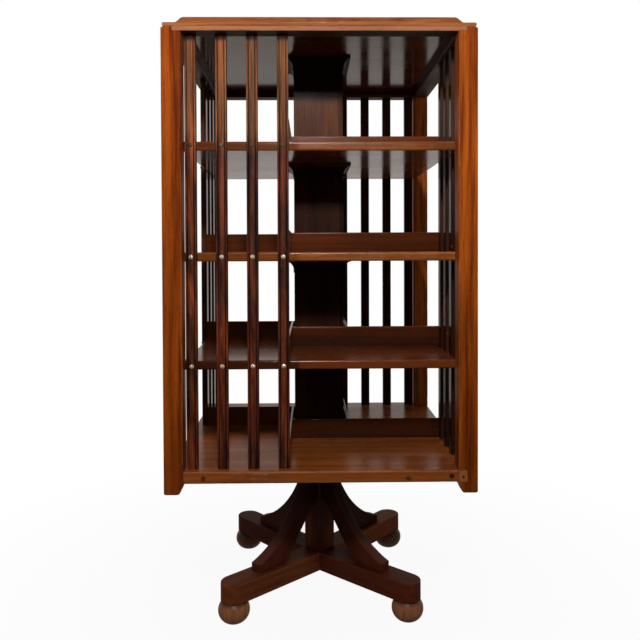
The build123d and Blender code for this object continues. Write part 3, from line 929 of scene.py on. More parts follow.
def slat_tree():
    """A section drawn up into a slat, set out in a row and repeated on all four faces."""
    seam = 0.00005
    sizes = {"Height": "NodeSocketFloat", "First": "NodeSocketFloat", "Pitch": "NodeSocketFloat",
             "Count": "NodeSocketInt"}
    nodes, given, output = geometry_tree("reeded_slats", sizes)
    drawn = nodes.add("GeometryNodeExtrudeMesh", {
        "Mesh": given["Geometry"], "Offset": (0.0, 0.0, 1.0), "Offset Scale": given["Height"],
        "Individual": False}).outputs[0]
    foot = nodes.add("GeometryNodeFlipFaces", {0: given["Geometry"]}).outputs[0]
    slat = nodes.add("GeometryNodeJoinGeometry", {0: drawn})
    nodes.tree.links.new(foot, slat.inputs[0])
    slat = nodes.add("GeometryNodeMergeByDistance", {"Geometry": slat.outputs[0],
                                                     "Distance": seam}).outputs[0]
    x, y, z = nodes.parts(nodes.add("GeometryNodeInputPosition").outputs[0])
    slat = stored(nodes, slat, "grain", nodes.vector(z, x, y), "FLOAT_VECTOR")
    start, stride = nodes.vector(given["First"]), nodes.vector(given["Pitch"])
    row = set_out(nodes, row_of(nodes, given["Count"], start, stride), slat)
    made = round_the_case(nodes, row)
    shift = nodes.add("FunctionNodeRandomValue", {
        0: 3 * [-GRAIN_SPREAD], 1: 3 * [GRAIN_SPREAD], 7: island_number(nodes),
        8: given["Seed"]}, data_type="FLOAT_VECTOR").outputs[0]
    before = nodes.add("GeometryNodeInputNamedAttribute", {"Name": "grain"},
                       data_type="FLOAT_VECTOR").outputs[0]
    made = stored(nodes, made, "grain", nodes.shifted(before, shift), "FLOAT_VECTOR")
    made = stored(nodes, made, "tone", drawn_tone(nodes, given["Seed"]))
    return close_tree(nodes, made, given, output)


def screw_tree():
    """A screw head set out along three shelf edges on all four faces, each slot turned anyhow."""
    sizes = {"Face": "NodeSocketFloat", "First": "NodeSocketFloat", "Pitch": "NodeSocketFloat",
             "Count": "NodeSocketInt"}
    sizes.update({level.capitalize(): "NodeSocketFloat" for level in SHELVES})
    nodes, given, output = geometry_tree("slat_screw_heads", sizes)
    stride = nodes.vector(given["Pitch"])
    rows = nodes.add("GeometryNodeJoinGeometry")
    for level in SHELVES:
        start = nodes.vector(given["First"], given["Face"], given[level.capitalize()])
        row = row_of(nodes, given["Count"], start, stride)
        nodes.tree.links.new(row, rows.inputs[0])
    roll = nodes.add("FunctionNodeRandomValue", {2: 0.0, 3: math.pi, 8: given["Seed"]},
                     data_type="FLOAT").outputs[1]
    pose = nodes.vector(math.pi / 2, roll)
    made = round_the_case(nodes, set_out(nodes, rows.outputs[0], given["Geometry"], pose))
    # The lower screws are brighter and smoother, a painted highlight, and the upper ones are dull
    height = nodes.parts(nodes.add("GeometryNodeInputPosition").outputs[0])[2]
    rubbed = nodes.remap(height, given["Middle"], given["Upper"], 0.7, -0.6)
    tone = nodes.plus(rubbed, drawn_tone(nodes, given["Seed"]), 0.3)
    return close_tree(nodes, stored(nodes, made, "tone", tone), given, output)


def repeated(name, mesh, tree, values):
    """A piece made by running a mesh through a tree with these inputs."""
    piece = new_piece(name, mesh)
    modifier = piece.modifiers.new(tree.name, "NODES")
    modifier.node_group = tree
    for socket in tree.interface.items_tree:
        if socket.in_out == "INPUT" and socket.name in values:
            modifier[socket.identifier] = values[socket.name]
    make_plain(piece)
    return piece


# Operators


class BOOKCASE_OT_posts(bpy.types.Operator):
    """Make the four corner posts, eased along their edges and cut back inside the foot."""
    bl_idname = "bookcase.posts"
    bl_label = "Corner Posts"

    def execute(self, context):
        sizes = context.scene.bookcase_case
        cut_step, shaft_step = 0.004, 0.007
        outer = -sizes.half_width
        inner = outer + sizes.post_size
        ends = eased(sizes.post_foot, sizes.post_top, sizes.post_end_arris)
        low, high = straight_run(ends)
        cut_top = sizes.post_foot + sizes.post_foot_rise
        levels = marks(low, cut_top, cut_step)[1:] + marks(cut_top, high, shaft_step)[1:-1]
        rings = []
        for z, ease, crest in filled(ends, *levels):
            cut = sizes.post_foot_cut * max(0.0, (cut_top - z) / sizes.post_foot_rise)
            near, far = outer + ease, inner - cut - ease
            section = eased_section(near, far, near, far, sizes.post_arris)
            rings.append([(x, y, z, max(crest, arris)) for x, y, arris in section])
        for seed, (corner, angle) in enumerate(CORNERS.items(), SEEDS["posts"]):
            post = Timber("corner_post_" + corner, seed, sizes.hand_wear)
            post.board(rings, ALONG_Z, turned(angle), tone=POST_TONES[corner])
            # The back right post is made paler: painted light
            post.wear(lambda point: POST_PAINTED_LIGHT[corner])
            post.finish(wood("case"), "case", "case_wood", "post_" + corner)
        return {"FINISHED"}


class BOOKCASE_OT_shelves(bpy.types.Operator):
    """Make the bottom board and the three shelves, with eased edges and a hole for the column."""
    bl_idname = "bookcase.shelves"
    bl_label = "Bottom Board and Shelves"

    def execute(self, context):
        sizes = context.scene.bookcase_case
        for seed, level in enumerate(SHELVES, SEEDS["shelves"]):
            self.shelf(sizes, level, seed)
        self.bottom(sizes)
        return {"FINISHED"}

    def shelf(self, sizes, level, seed):
        """Make a shelf, rubbed along its edge."""
        low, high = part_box("shelf_" + level)
        hole, rubbed = -COLUMN_LOW.x, SHELF_WEAR[level]
        rings = []
        for z, inset, crest in eased(low.z, high.z, sizes.board_arris):
            edge = rubbed if inset < sizes.board_arris else 0.0
            rings.append(square_ring(high.x - inset, z, max(edge, crest * 2 * rubbed)))
        rings.append(squared_to(rings[-1], hole, high.z, TREAD))
        rings.append(squared_to(rings[0], hole, low.z))
        shelf = Timber("open_shelf_" + level, seed, sizes.hand_wear)
        shelf.board(rings, ALONG_X, holed=True, tone=SHELF_TONES[level])
        shelf.wear(self.dirt_behind_slats)
        shelf.finish(wood("shelf"), "case", "shelf_wood", "shelf_" + level)

    def bottom(self, sizes):
        """Make the bottom board, notched for the posts and bored for the bush."""
        edge_step, side_step, bush_flange = 0.003, 0.004, 0.004
        notch = sizes.half_width - sizes.post_size
        bore = (BUSH_HIGH.x - BUSH_LOW.x) / 2 - bush_flange
        ends = eased(BOTTOM_LOW.z, BOTTOM_HIGH.z, sizes.board_arris)
        levels = filled(ends, *marks(*straight_run(ends), edge_step)[1:-1])
        rings = [notched_ring(BOTTOM_HIGH.x - inset, notch, z, crest, side_step)
                 for z, inset, crest in levels]
        rings.append(rounded_to(rings[-1], bore, BOTTOM_HIGH.z, TREAD))
        rings.append(rounded_to(rings[0], bore, BOTTOM_LOW.z))
        bottom = Timber("framed_bottom_board", SEEDS["bottom"], sizes.hand_wear)
        bottom.board(rings, ALONG_X, holed=True, tone=BOTTOM_TONE)
        bottom.wear(self.bruises)
        bottom.finish(wood("bottom"), "case", "case_wood", "bottom_board")

    @staticmethod
    def dirt_behind_slats(point):
        """Dirt on the half of a shelf's edge that the slats stand against."""
        dirt, edge_depth, slats_end = -0.8, 0.003, -0.046
        x, y = point.x, point.y
        across, out = max(((x, -y), (y, x), (-x, y), (-y, -x)), key=lambda pair: pair[1])
        return dirt if out > -SLAT_HIGH.y - edge_depth and across < slats_end else 0.0

    @staticmethod
    def bruises(point):
        """A rubbed patch and two dark knocks on the front edge of the bottom board."""
        edge_depth, knock_radius, knock_dirt = 0.002, 0.005, 0.8
        patch_middle, patch_half, patch_low, patch_high = -0.120, 0.017, 0.007, 0.020
        knocks = ((0.170, 0.008), (-0.229, 0.0115))
        if point.y > BOTTOM_LOW.y + edge_depth:
            return 0.0
        rise = point.z - BOTTOM_LOW.z
        rubbed = abs(point.x - patch_middle) < patch_half and patch_low < rise < patch_high
        knocked = any(math.hypot(point.x - x, rise - z) < knock_radius for x, z in knocks)
        return float(rubbed) - knock_dirt * knocked


class BOOKCASE_OT_top(bpy.types.Operator):
    """Make the top rails, their mitred capping and the ogee-edged top board."""
    bl_idname = "bookcase.top"
    bl_label = "Rails and Top"

    def execute(self, context):
        sizes = context.scene.bookcase_case
        base = RAIL_HIGH.z - sizes.capping_thickness
        lap = sizes.half_width - sizes.post_size + sizes.rail_lap
        rail = lying(-lap, lap, self.rail_section(sizes, base))
        capping = mitred(self.capping_section(sizes.capping_nose, base))
        for seed, (side, angle) in enumerate(SIDES.items()):
            strip = Timber("capped_rail_" + side, SEEDS["rails"] + seed, sizes.hand_wear)
            strip.board(rail, ALONG_X, turned(angle), tone=RAIL_TONE)
            strip.finish(wood("rail"), "case", "case_wood", "top_rail_" + side)
            edging = Timber("mitred_capping_" + side, SEEDS["capping"] + seed, sizes.hand_wear)
            edging.board(capping, ALONG_X, turned(angle), tone=RAIL_TONE)
            edging.wear(self.rubbed_edge)
            edging.finish(wood("capping"), "case", "case_wood")
        top = Timber("moulded_top_board", SEEDS["top"], sizes.hand_wear)
        top.board(self.ogee_rings(sizes), ALONG_X)
        top.finish(wood("top"), "case", "case_wood", "top_board")
        return {"FINISHED"}

    @staticmethod
    def rail_section(sizes, base):
        """The front rail's section: paler on its face, a painted sheen, and darker inside and
        underneath, painted shade.
        """
        handled, inner_depth, under_depth = 0.3, 0.0016, 0.0003
        section = eased_section(RAIL_LOW.y - sizes.rail_proud, RAIL_HIGH.y, RAIL_LOW.z, base,
                                sizes.rail_arris)
        inside, under = RAIL_HIGH.y - inner_depth, RAIL_LOW.z + under_depth
        return [(y, z, PAINTED_SHADE if y > inside or z < under else handled) for y, z, _ in section]

    @staticmethod
    def capping_section(nose, base):
        """The front capping's section, with a rounded outer edge worn pale, partly a painted
        highlight, and painted shade on its inner faces.
        """
        lip, top, edge_wear = RAIL_LOW.x, RAIL_HIGH.z, 0.8
        section = [(RAIL_HIGH.y, top, PAINTED_SHADE), (RAIL_HIGH.y, base, PAINTED_SHADE), (lip + nose, base, 0.0)]
        section += [(lip + nose - nose * math.sin(s), base + nose - nose * math.cos(s),
                     edge_wear * math.sin(s)) for s in QUARTER_TURN[1:]]
        section += [(lip + nose - nose * math.cos(s), top - nose + nose * math.sin(s),
                     edge_wear * math.cos(s)) for s in QUARTER_TURN]
        return section

    @staticmethod
    def rubbed_edge(point):
        """Wear along the capping's outer edge, most of all at its corners, partly a painted
        highlight.
        """
        corner, edge, corner_wear, edge_wear = 0.282, 0.296, 0.7, 0.5
        near, far = sorted((abs(point.x), abs(point.y)))
        return corner_wear if near > corner else edge_wear if far > edge else 0.0

    @staticmethod
    def ogee_rings(sizes):
        """Rings of the top board, from its flat edge up an ogee to its crown."""
        foot = TOP_HIGH.x - sizes.ogee_setback
        crown = foot - sizes.ogee_run
        quirk, pull, chamfer, ease = TOP_LOW.z + sizes.ogee_quirk, sizes.ogee_pull, 0.0005, 0.0008
        rings = [square_ring(foot - chamfer, TOP_LOW.z, -0.7),
                 square_ring(foot, TOP_LOW.z + ease, -0.4),
                 square_ring(foot, quirk - ease, 0.6)]
        crests = [0.6] + 2 * [0.0] + 10 * [0.7] + 2 * [0.2]
        for step, crest in enumerate(crests):
            t = step / (len(crests) - 1)
            a, b, c, d = (1 - t) ** 3, 3 * t * (1 - t) ** 2, 3 * t * t * (1 - t), t ** 3
            half = a * foot + b * (foot - pull) + c * (crown + pull) + d * crown
            rings.append(square_ring(half, (a + b) * quirk + (c + d) * TOP_HIGH.z, crest))
        return rings


class BOOKCASE_OT_column(bpy.types.Operator):
    """Make the hollow column's four boards and the mitred capitals round it."""
    bl_idname = "bookcase.column"
    bl_label = "Column and Capitals"

    def execute(self, context):
        sizes = context.scene.bookcase_case
        half, edge, step = -COLUMN_LOW.x, 0.0006, 0.03
        board = upright(-half, half - sizes.column_board, -half, -half + sizes.column_board,
                        COLUMN_LOW.z, COLUMN_HIGH.z, edge, step)
        for seed, (side, angle) in enumerate(SIDES.items(), SEEDS["column"]):
            panel = Timber("column_panel_" + side, seed)
            panel.board(board, ALONG_Z, turned(angle))
            panel.finish(wood("column"), "case", "column_wood", "column_board_" + side)
        for seed, level in enumerate(SHELVES + ("top",), SEEDS["capitals"]):
            capital = Timber("coved_capital_" + level, seed)
            profile = self.cove(sizes, half, *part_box("capital_" + level))
            for angle in SIDES.values():
                capital.board(mitred(profile), ALONG_X, turned(angle))
            capital.finish(wood("column"), "case", "column_wood", "capital_" + level)
        return {"FINISHED"}

    @staticmethod
    def cove(sizes, half, low, high):
        """The capital's section: a fillet, a cove that darkens towards its foot, a small step."""
        count, cove_wear, cove_darkening = 10, 0.5, 1.2
        lip, step = low.y, sizes.capital_step
        top = (lip + step, high.z - sizes.capital_fillet)
        foot = (-half - step, low.z + step)
        hollow = arc(top, bowed(top, foot, sizes.capital_hollow), foot, count)
        profile = [(-half, high.z, 0.0), (lip, high.z, 0.3), (lip, top[1], 0.8)]
        profile += [(y, z, cove_wear - cove_darkening * n / count) for n, (y, z) in enumerate(hollow)]
        return profile + [(-half - step, low.z, 0.4), (-half, low.z, -0.6)]


class BOOKCASE_OT_stops(bpy.types.Operator):
    """Make the low book stops, four to a tier, rounded along the top."""
    bl_idname = "bookcase.stops"
    bl_label = "Book Stops"

    def execute(self, context):
        sizes = context.scene.bookcase_case
        half, reach = sizes.stop_standoff - COLUMN_LOW.x, STOP_HIGH.x
        for seed, level in enumerate(STOP_DARKENING, SEEDS["stops"]):
            section = self.section(sizes, half, *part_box("book_stops_" + level))
            stops = Timber("low_stops_" + level, seed, sizes.hand_wear)
            for angle in SIDES.values():
                stops.board(lying(-half, reach, section), ALONG_X, turned(angle), tone=STOP_TONE)
            stops.wear(lambda point: STOP_DARKENING[level])
            stops.finish(wood("shelf"), "case", "shelf_wood", "book_stops_" + level)
        return {"FINISHED"}

    @staticmethod
    def section(sizes, half, low, high):
        """A stop's section, let into the shelf as deep as the shelf's edge is eased."""
        top_wear, face_dirt = 0.4, -0.5
        back, face = -half, -half - sizes.stop_thickness
        ease, seat = sizes.stop_arris, low.z - sizes.board_arris
        section = [(back, seat, 0.0), (back, high.z - ease, 0.0)]
        section += [(back - ease + ease * math.cos(s), high.z - ease + ease * math.sin(s),
                     top_wear * math.sin(s)) for s in QUARTER_TURN[1:]]
        section += [(face + ease - ease * math.sin(s), high.z - ease + ease * math.cos(s),
                     top_wear * math.cos(s)) for s in QUARTER_TURN]
        return section + [(face, low.z, face_dirt), (face, seat, face_dirt)]


class BOOKCASE_OT_slats(bpy.types.Operator):
    """Make the sixteen reeded slats: a crowned rib between two grooves and two edge beads."""
    bl_idname = "bookcase.slats"
    bl_label = "Reeded Slats"

    def execute(self, context):
        sizes = context.scene.bookcase_case
        slats = repeated("reeded_slats", self.foot_face(self.section(sizes)), slat_tree(), {
            "Height": RAIL_LOW.z - BOTTOM_HIGH.z, "First": (SLAT_LOW.x + SLAT_HIGH.x) / 2,
            "Pitch": sizes.slat_pitch, "Count": sizes.slat_count, "Seed": SEEDS["slats"],
            "Material": wood("slat")})
        smooth(slats)
        nodes = ["slat_%s_%d" % (side, n + 1) for side in SIDES for n in range(sizes.slat_count)]
        settle(slats, "case", "slat_wood", *nodes)
        return {"FINISHED"}

    @staticmethod
    def section(sizes):
        """The slat's section as (across, depth, crest), from one back edge to the other."""
        spring_drop, crown_drop, bead_drop, groove_drop = 0.0019, 0.001, 0.0003, 0.0028
        bead_steps, rib_steps, bead_dirt, rib_wear = 6, 10, -0.8, 0.3
        half, depth = sizes.slat_width / 2, sizes.slat_thickness
        bead_end = half - sizes.slat_bead
        rib = bead_end - sizes.slat_groove
        spring, crown = depth - spring_drop, depth - crown_drop
        bead = arc((half, spring), ((half + bead_end) / 2, depth - bead_drop),
                   (bead_end, spring), bead_steps)
        right = [(half, 0.0, SLAT_BACK)]
        right += [(x, y, bead_dirt + math.sin(math.pi * n / bead_steps))
                  for n, (x, y) in enumerate(bead)]
        right += [((bead_end + rib) / 2, depth - groove_drop, -1.0)]
        ribs = arc((rib, crown), (0.0, depth), (-rib, crown), rib_steps)
        middle = [(x, y, bead_dirt if n in (0, rib_steps) else rib_wear)
                  for n, (x, y) in enumerate(ribs)]
        return right + middle + [(-x, y, crest) for x, y, crest in reversed(right)]

    @staticmethod
    def foot_face(section):
        """The section as one upward face on the bottom board."""
        mesh = bmesh.new()
        layer = mesh.verts.layers.float.new("crest")
        ring = []
        for x, y, crest in section:
            ring.append(mesh.verts.new((x, SLAT_HIGH.y - y, BOTTOM_HIGH.z)))
            ring[-1][layer] = crest
        face = mesh.faces.new(ring)
        mesh.normal_update()
        if face.normal.z < 0:
            bmesh.ops.reverse_faces(mesh, faces=mesh.faces)
        data = bpy.data.meshes.new("slat_section")
        mesh.to_mesh(data)
        mesh.free()
        return data


class BOOKCASE_OT_repairs(bpy.types.Operator):
    """Let a screwed patch into the right front post's foot and a plug into the bottom board."""
    bl_idname = "bookcase.repairs"
    bl_label = "Old Repairs"

    def execute(self, context):
        post_face, board_edge = -context.scene.bookcase_case.half_width, BOTTOM_LOW.y
        left, right, low, high = 0.2675, 0.2840, 0.3325, 0.3545
        proud, depth, edge, bare = 0.0004, 0.006, 0.0006, 0.9
        screw_place, screw_radius, screw_proud, screw_dirt = (0.2764, 0.3420), 0.0024, 0.0007, -1.0
        plug_place, plug_radius, plug_proud, plug_dirt = (0.2540, 0.3434), 0.0050, 0.0003, -0.85
        patch = Timber("let_in_patch", SEEDS["patch"])
        patch.board(upright(left, right, post_face - proud, post_face + depth, low, high, edge),
                    ALONG_Z, tone=PATCH_TONE)
        patch.wear(lambda point: bare)
        patch.board(self.disc(screw_place, screw_radius, post_face - screw_proud, screw_dirt),
                    ALONG_Z, tone=DARKEST)
        patch.finish(wood("shelf"), "case", "case_wood")
        plug = Timber("edge_plug", SEEDS["plug"])
        plug.board(self.disc(plug_place, plug_radius, board_edge - plug_proud, plug_dirt),
                   ALONG_Z, tone=DARKEST)
        plug.finish(wood("shelf"), "case", "case_wood")
        return {"FINISHED"}

    @staticmethod
    def disc(place, radius, front, crest):
        """Rings of a round plug that goes back into a front face."""
        depth, chamfer, count = 0.005, 0.0003, 20
        x, z = place
        turns = [math.tau * n / count for n in range(count)]
        return [[(x + r * math.cos(t), y, z + r * math.sin(t), crest) for t in turns]
                for y, r in ((front + depth, radius), (front + chamfer, radius),
                             (front, radius - chamfer))]


class BOOKCASE_OT_screws(bpy.types.Operator):
    """Make the slotted round-head screws that hold the slats to the shelf edges."""
    bl_idname = "bookcase.screws"
    bl_label = "Slat Screws"

    def execute(self, context):
        sizes = context.scene.bookcase_case
        values = {"Face": SLAT_LOW.y + sizes.screw_seat, "First": (SLAT_LOW.x + SLAT_HIGH.x) / 2,
                  "Pitch": sizes.slat_pitch, "Count": sizes.slat_count, "Seed": SEEDS["screws"],
                  "Material": rubbed_brass()}
        for level in SHELVES:
            low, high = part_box("shelf_" + level)
            values[level.capitalize()] = (low.z + high.z) / 2
        screws = repeated("round_head_screws", self.slotted_head(sizes), screw_tree(), values)
        screws.data.shade_smooth()
        screws.data.set_sharp_from_angle(angle=SHARP_METAL)
        settle(screws, "case", "brass", "slat_screws")
        return {"FINISHED"}

    @staticmethod
    def slotted_head(sizes):
        """A domed head with a slot, its base on the ground and its dome upwards."""
        rim_height, slot_floor, roundness, columns = 0.0004, 0.62, 0.98, 8
        # The dome's crest is wear and a painted highlight
        slot_dirt, dome_wear_and_highlight, rim_dirt = -1.0, 0.5, -0.4
        radius, dome, slot = sizes.screw_head / 2, sizes.screw_dome, sizes.screw_slot / 2
        floor = dome * slot_floor
        flank = [(0.97, False), (0.8, False), (0.5, False)]
        wall = [(slot / radius, False), (slot / radius, True)]
        across = [(-v, cut) for v, cut in flank + wall] + wall[::-1] + flank[::-1]
        mesh = bmesh.new()
        crest = mesh.verts.layers.float.new("crest")
        rows = []
        for v, cut in across:
            chord = math.sqrt(1 - v * v)
            row = []
            for n in range(columns + 1):
                u = -chord * math.cos(math.pi * n / columns)
                fall = max(0.0, 1 - roundness * (u * u + v * v))
                rise = rim_height + (dome - rim_height) * math.sqrt(fall)
                vert = mesh.verts.new((u * radius, v * radius, min(rise, floor) if cut else rise))
                vert[crest] = slot_dirt if cut else dome_wear_and_highlight
                row.append(vert)
            rows.append(row)
        for near, far in zip(rows, rows[1:]):
            for n in range(columns):
                mesh.faces.new((near[n], near[n + 1], far[n + 1], far[n]))
        rim = rows[0] + [row[-1] for row in rows[1:-1]]
        rim += rows[-1][::-1] + [row[0] for row in rows[-2:0:-1]]
        base = []
        for vert in rim:
            base.append(mesh.verts.new((vert.co.x, vert.co.y, 0.0)))
            base[-1][crest] = rim_dirt
        for n in range(len(rim)):
            mesh.faces.new((rim[n - 1], rim[n], base[n], base[n - 1]))
        mesh.faces.new(base)
        bmesh.ops.remove_doubles(mesh, verts=mesh.verts, dist=SAME_POINT)
        bmesh.ops.recalc_face_normals(mesh, faces=mesh.faces)
        data = bpy.data.meshes.new("screw_head")
        mesh.to_mesh(data)
        mesh.free()
        return data


class BOOKCASE_OT_pedestal(bpy.types.Operator):
    """Make the halved arms, the sawn braces and the central post of the pedestal."""
    bl_idname = "bookcase.pedestal"
    bl_label = "Pedestal"

    def execute(self, context):
        sizes = context.scene.bookcase_pedestal
        nicks = context.scene.bookcase_case.hand_wear
        arm_reach, arm_step, sag_fade = 0.252, 0.014, 0.12
        foot_circle = math.hypot((FOOT_LOW.x + FOOT_HIGH.x) / 2, (FOOT_LOW.y + FOOT_HIGH.y) / 2)
        settled = (sizes.sag, foot_circle, ARM_HIGH.z, sag_fade)
        for seed, (arm, heading) in enumerate(ARMS.items(), SEEDS["arms"]):
            bar = Timber("halved_arm_" + arm, seed)
            bar.from_node("base_arm_" + arm, ALONG_X, turned(heading), ARM_TONES[arm])
            bar.split(turned(heading) @ Vector((1.0, 0.0, 0.0)),
                      marks(-arm_reach, arm_reach, arm_step))
            bar.wear(lambda point: self.arm_wear(point, sizes.arm_arris))
            bar.sink(*settled)
            bar.finish(wood("pedestal"), "pedestal", "pedestal_wood", "base_arm_" + arm)
        rings = self.brace_rings(sizes)
        for seed, (corner, angle) in enumerate(CORNERS.items(), SEEDS["braces"]):
            brace = Timber("sawn_brace_" + corner, seed, nicks)
            brace.board(rings, ALONG_BRACE, turned(FRONT_LEFT_HEADING + angle))
            brace.sink(*settled)
            brace.finish(wood("brace"), "pedestal", "pedestal_wood", "brace_" + corner)
        self.center_post(sizes, settled)
        return {"FINISHED"}

    @staticmethod
    def arm_wear(point, arris):
        """Wear on an arm's eased edges, and dirt with painted shade on its flat top and towards
        the crossing, under the case.
        """
        edge_wear, darkening_reach, side_dirt_and_shade, top_dirt_and_shade, crossing_dirt_and_shade = 0.4, 0.22, 0.35, 0.30, 0.45
        edge = min(ARM_HIGH.z - point.z, point.z - ARM_LOW.z)
        if HAIR < edge < arris - HAIR:
            return edge_wear
        near = max(0.0, 1.0 - math.hypot(point.x, point.y) / darkening_reach)
        on_top = point.z > ARM_HIGH.z - HAIR
        return -top_dirt_and_shade - crossing_dirt_and_shade * near if on_top else -side_dirt_and_shade * near

    @staticmethod
    def brace_rings(sizes):
        """Rings through a brace's thickness, from its outline in the upright plane."""
        curve_steps, outline_step = 30, 0.012
        face, head, foot = sizes.post_size / 2, BRACE_HIGH.z, ARM_HIGH.z
        toe = (sizes.brace_toe_radius, foot + sizes.brace_toe_height)
        tip = (face + sizes.brace_tip, head)
        curve = arc(toe, bowed(toe, tip, sizes.brace_hollow), tip, curve_steps)
        back = [(face, head), (face, foot + sizes.brace_heel_height),
                (sizes.brace_heel_radius, foot), (sizes.brace_toe_radius, foot)]
        outline = closely_marked(curve + back, outline_step)
        half = sizes.brace_thickness / 2
        return [[(x, y, z, crest) for x, z in inset_outline(outline, inset)]
                for y, inset, crest in eased(-half, half, sizes.brace_arris)]

    @staticmethod
    def center_post(sizes, settled):
        """Make the central post, square between the braces and turned inside the column."""
        arris, square_step, overlap, bush_rise, taper = 0.002, 0.02, 0.001, 0.02, 0.003
        journal_end, end_start, end_radius = 0.05, 0.0495, 0.017
        undarkened_height, darkening_height, dirt = 0.03, 0.10, 0.8
        face, head, foot = sizes.post_size / 2, BRACE_HIGH.z, ARM_HIGH.z
        journal, top = sizes.journal / 2, CENTER_HIGH.z
        post = Timber("central_post", SEEDS["center_post"])
        post.board(upright(-face, face, -face, face, foot, head, arris, square_step), ALONG_Z,
                   turned(45), tone=CENTER_TONE)
        shaft = [(journal, head - overlap), (journal, BUSH_HIGH.z + bush_rise),
                 (journal - taper, top - journal_end), (end_radius, top - end_start),
                 (end_radius, top)]
        post.board([round_ring(radius, level) for radius, level in shaft], ALONG_Z)
        # Darker from a little above the arms up to the braces' tops: dirt, and painted shade under
        # the case
        post.wear(lambda point: -dirt * clamped((point.z - foot - undarkened_height) / darkening_height))
        post.sink(*settled)
        post.finish(wood("pedestal"), "pedestal", "pedestal_wood", "center_post")


class BOOKCASE_OT_feet(bpy.types.Operator):
    """Turn the four bun feet."""
    bl_idname = "bookcase.feet"
    bl_label = "Bun Feet"

    def execute(self, context):
        sizes = context.scene.bookcase_pedestal
        height, steps = ARM_LOW.z, 20
        profile = arc((sizes.foot_sole, 0.0), (sizes.foot_bun, height / 2),
                      (sizes.foot_neck, height), steps)
        rings = [round_ring(radius, level, self.belt(radius / sizes.foot_bun, n))
                 for n, (radius, level) in enumerate(profile)]
        for seed, corner in enumerate(CORNERS, SEEDS["feet"]):
            low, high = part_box("foot_" + corner)
            end = corner.split("_")[0]
            foot = Timber("bun_foot_" + corner, seed)
            place = Matrix.Translation(((low.x + high.x) / 2, (low.y + high.y) / 2, 0.0))
            # The back feet are darker in tone and crest: painted shade
            foot.board(rings, ALONG_Z, place, tone=FOOT_TONES[end])
            foot.wear(lambda point: FOOT_SHADE[end])
            foot.finish(wood("foot"), "pedestal", "foot_wood", "foot_" + corner)
        return {"FINISHED"}

    @staticmethod
    def belt(share, n):
        """Wear round a bun's belt, and painted shade towards its neck and its sole."""
        belt_start, belt_wear = 0.85, 0.9
        neck_start, neck_shade, sole_end, sole_shade = 12, 0.09, 8, 0.13
        worn = belt_wear * max(0.0, share - belt_start) / (1.0 - belt_start)
        return worn - neck_shade * max(0, n - neck_start) - sole_shade * max(0, sole_end - n)


class BOOKCASE_OT_gear(bpy.types.Operator):
    """Finish the bridge, cup, ferrule, spindle and bush that the case turns on."""
    bl_idname = "bookcase.gear"
    bl_label = "Turning Gear"

    def execute(self, context):
        finishes = {"pivot_bridge": wood("bridge"), "pivot_cup": oiled_iron(),
                    "post_ferrule": oiled_iron(), "pivot_spindle": oiled_iron(),
                    "guide_bush": rubbed_brass()}
        for node, material in finishes.items():
            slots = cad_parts[node].material_slots
            if not slots:
                raise RuntimeError(node + " has no material slot")
            for slot in slots:
                slot.material = material
        return {"FINISHED"}


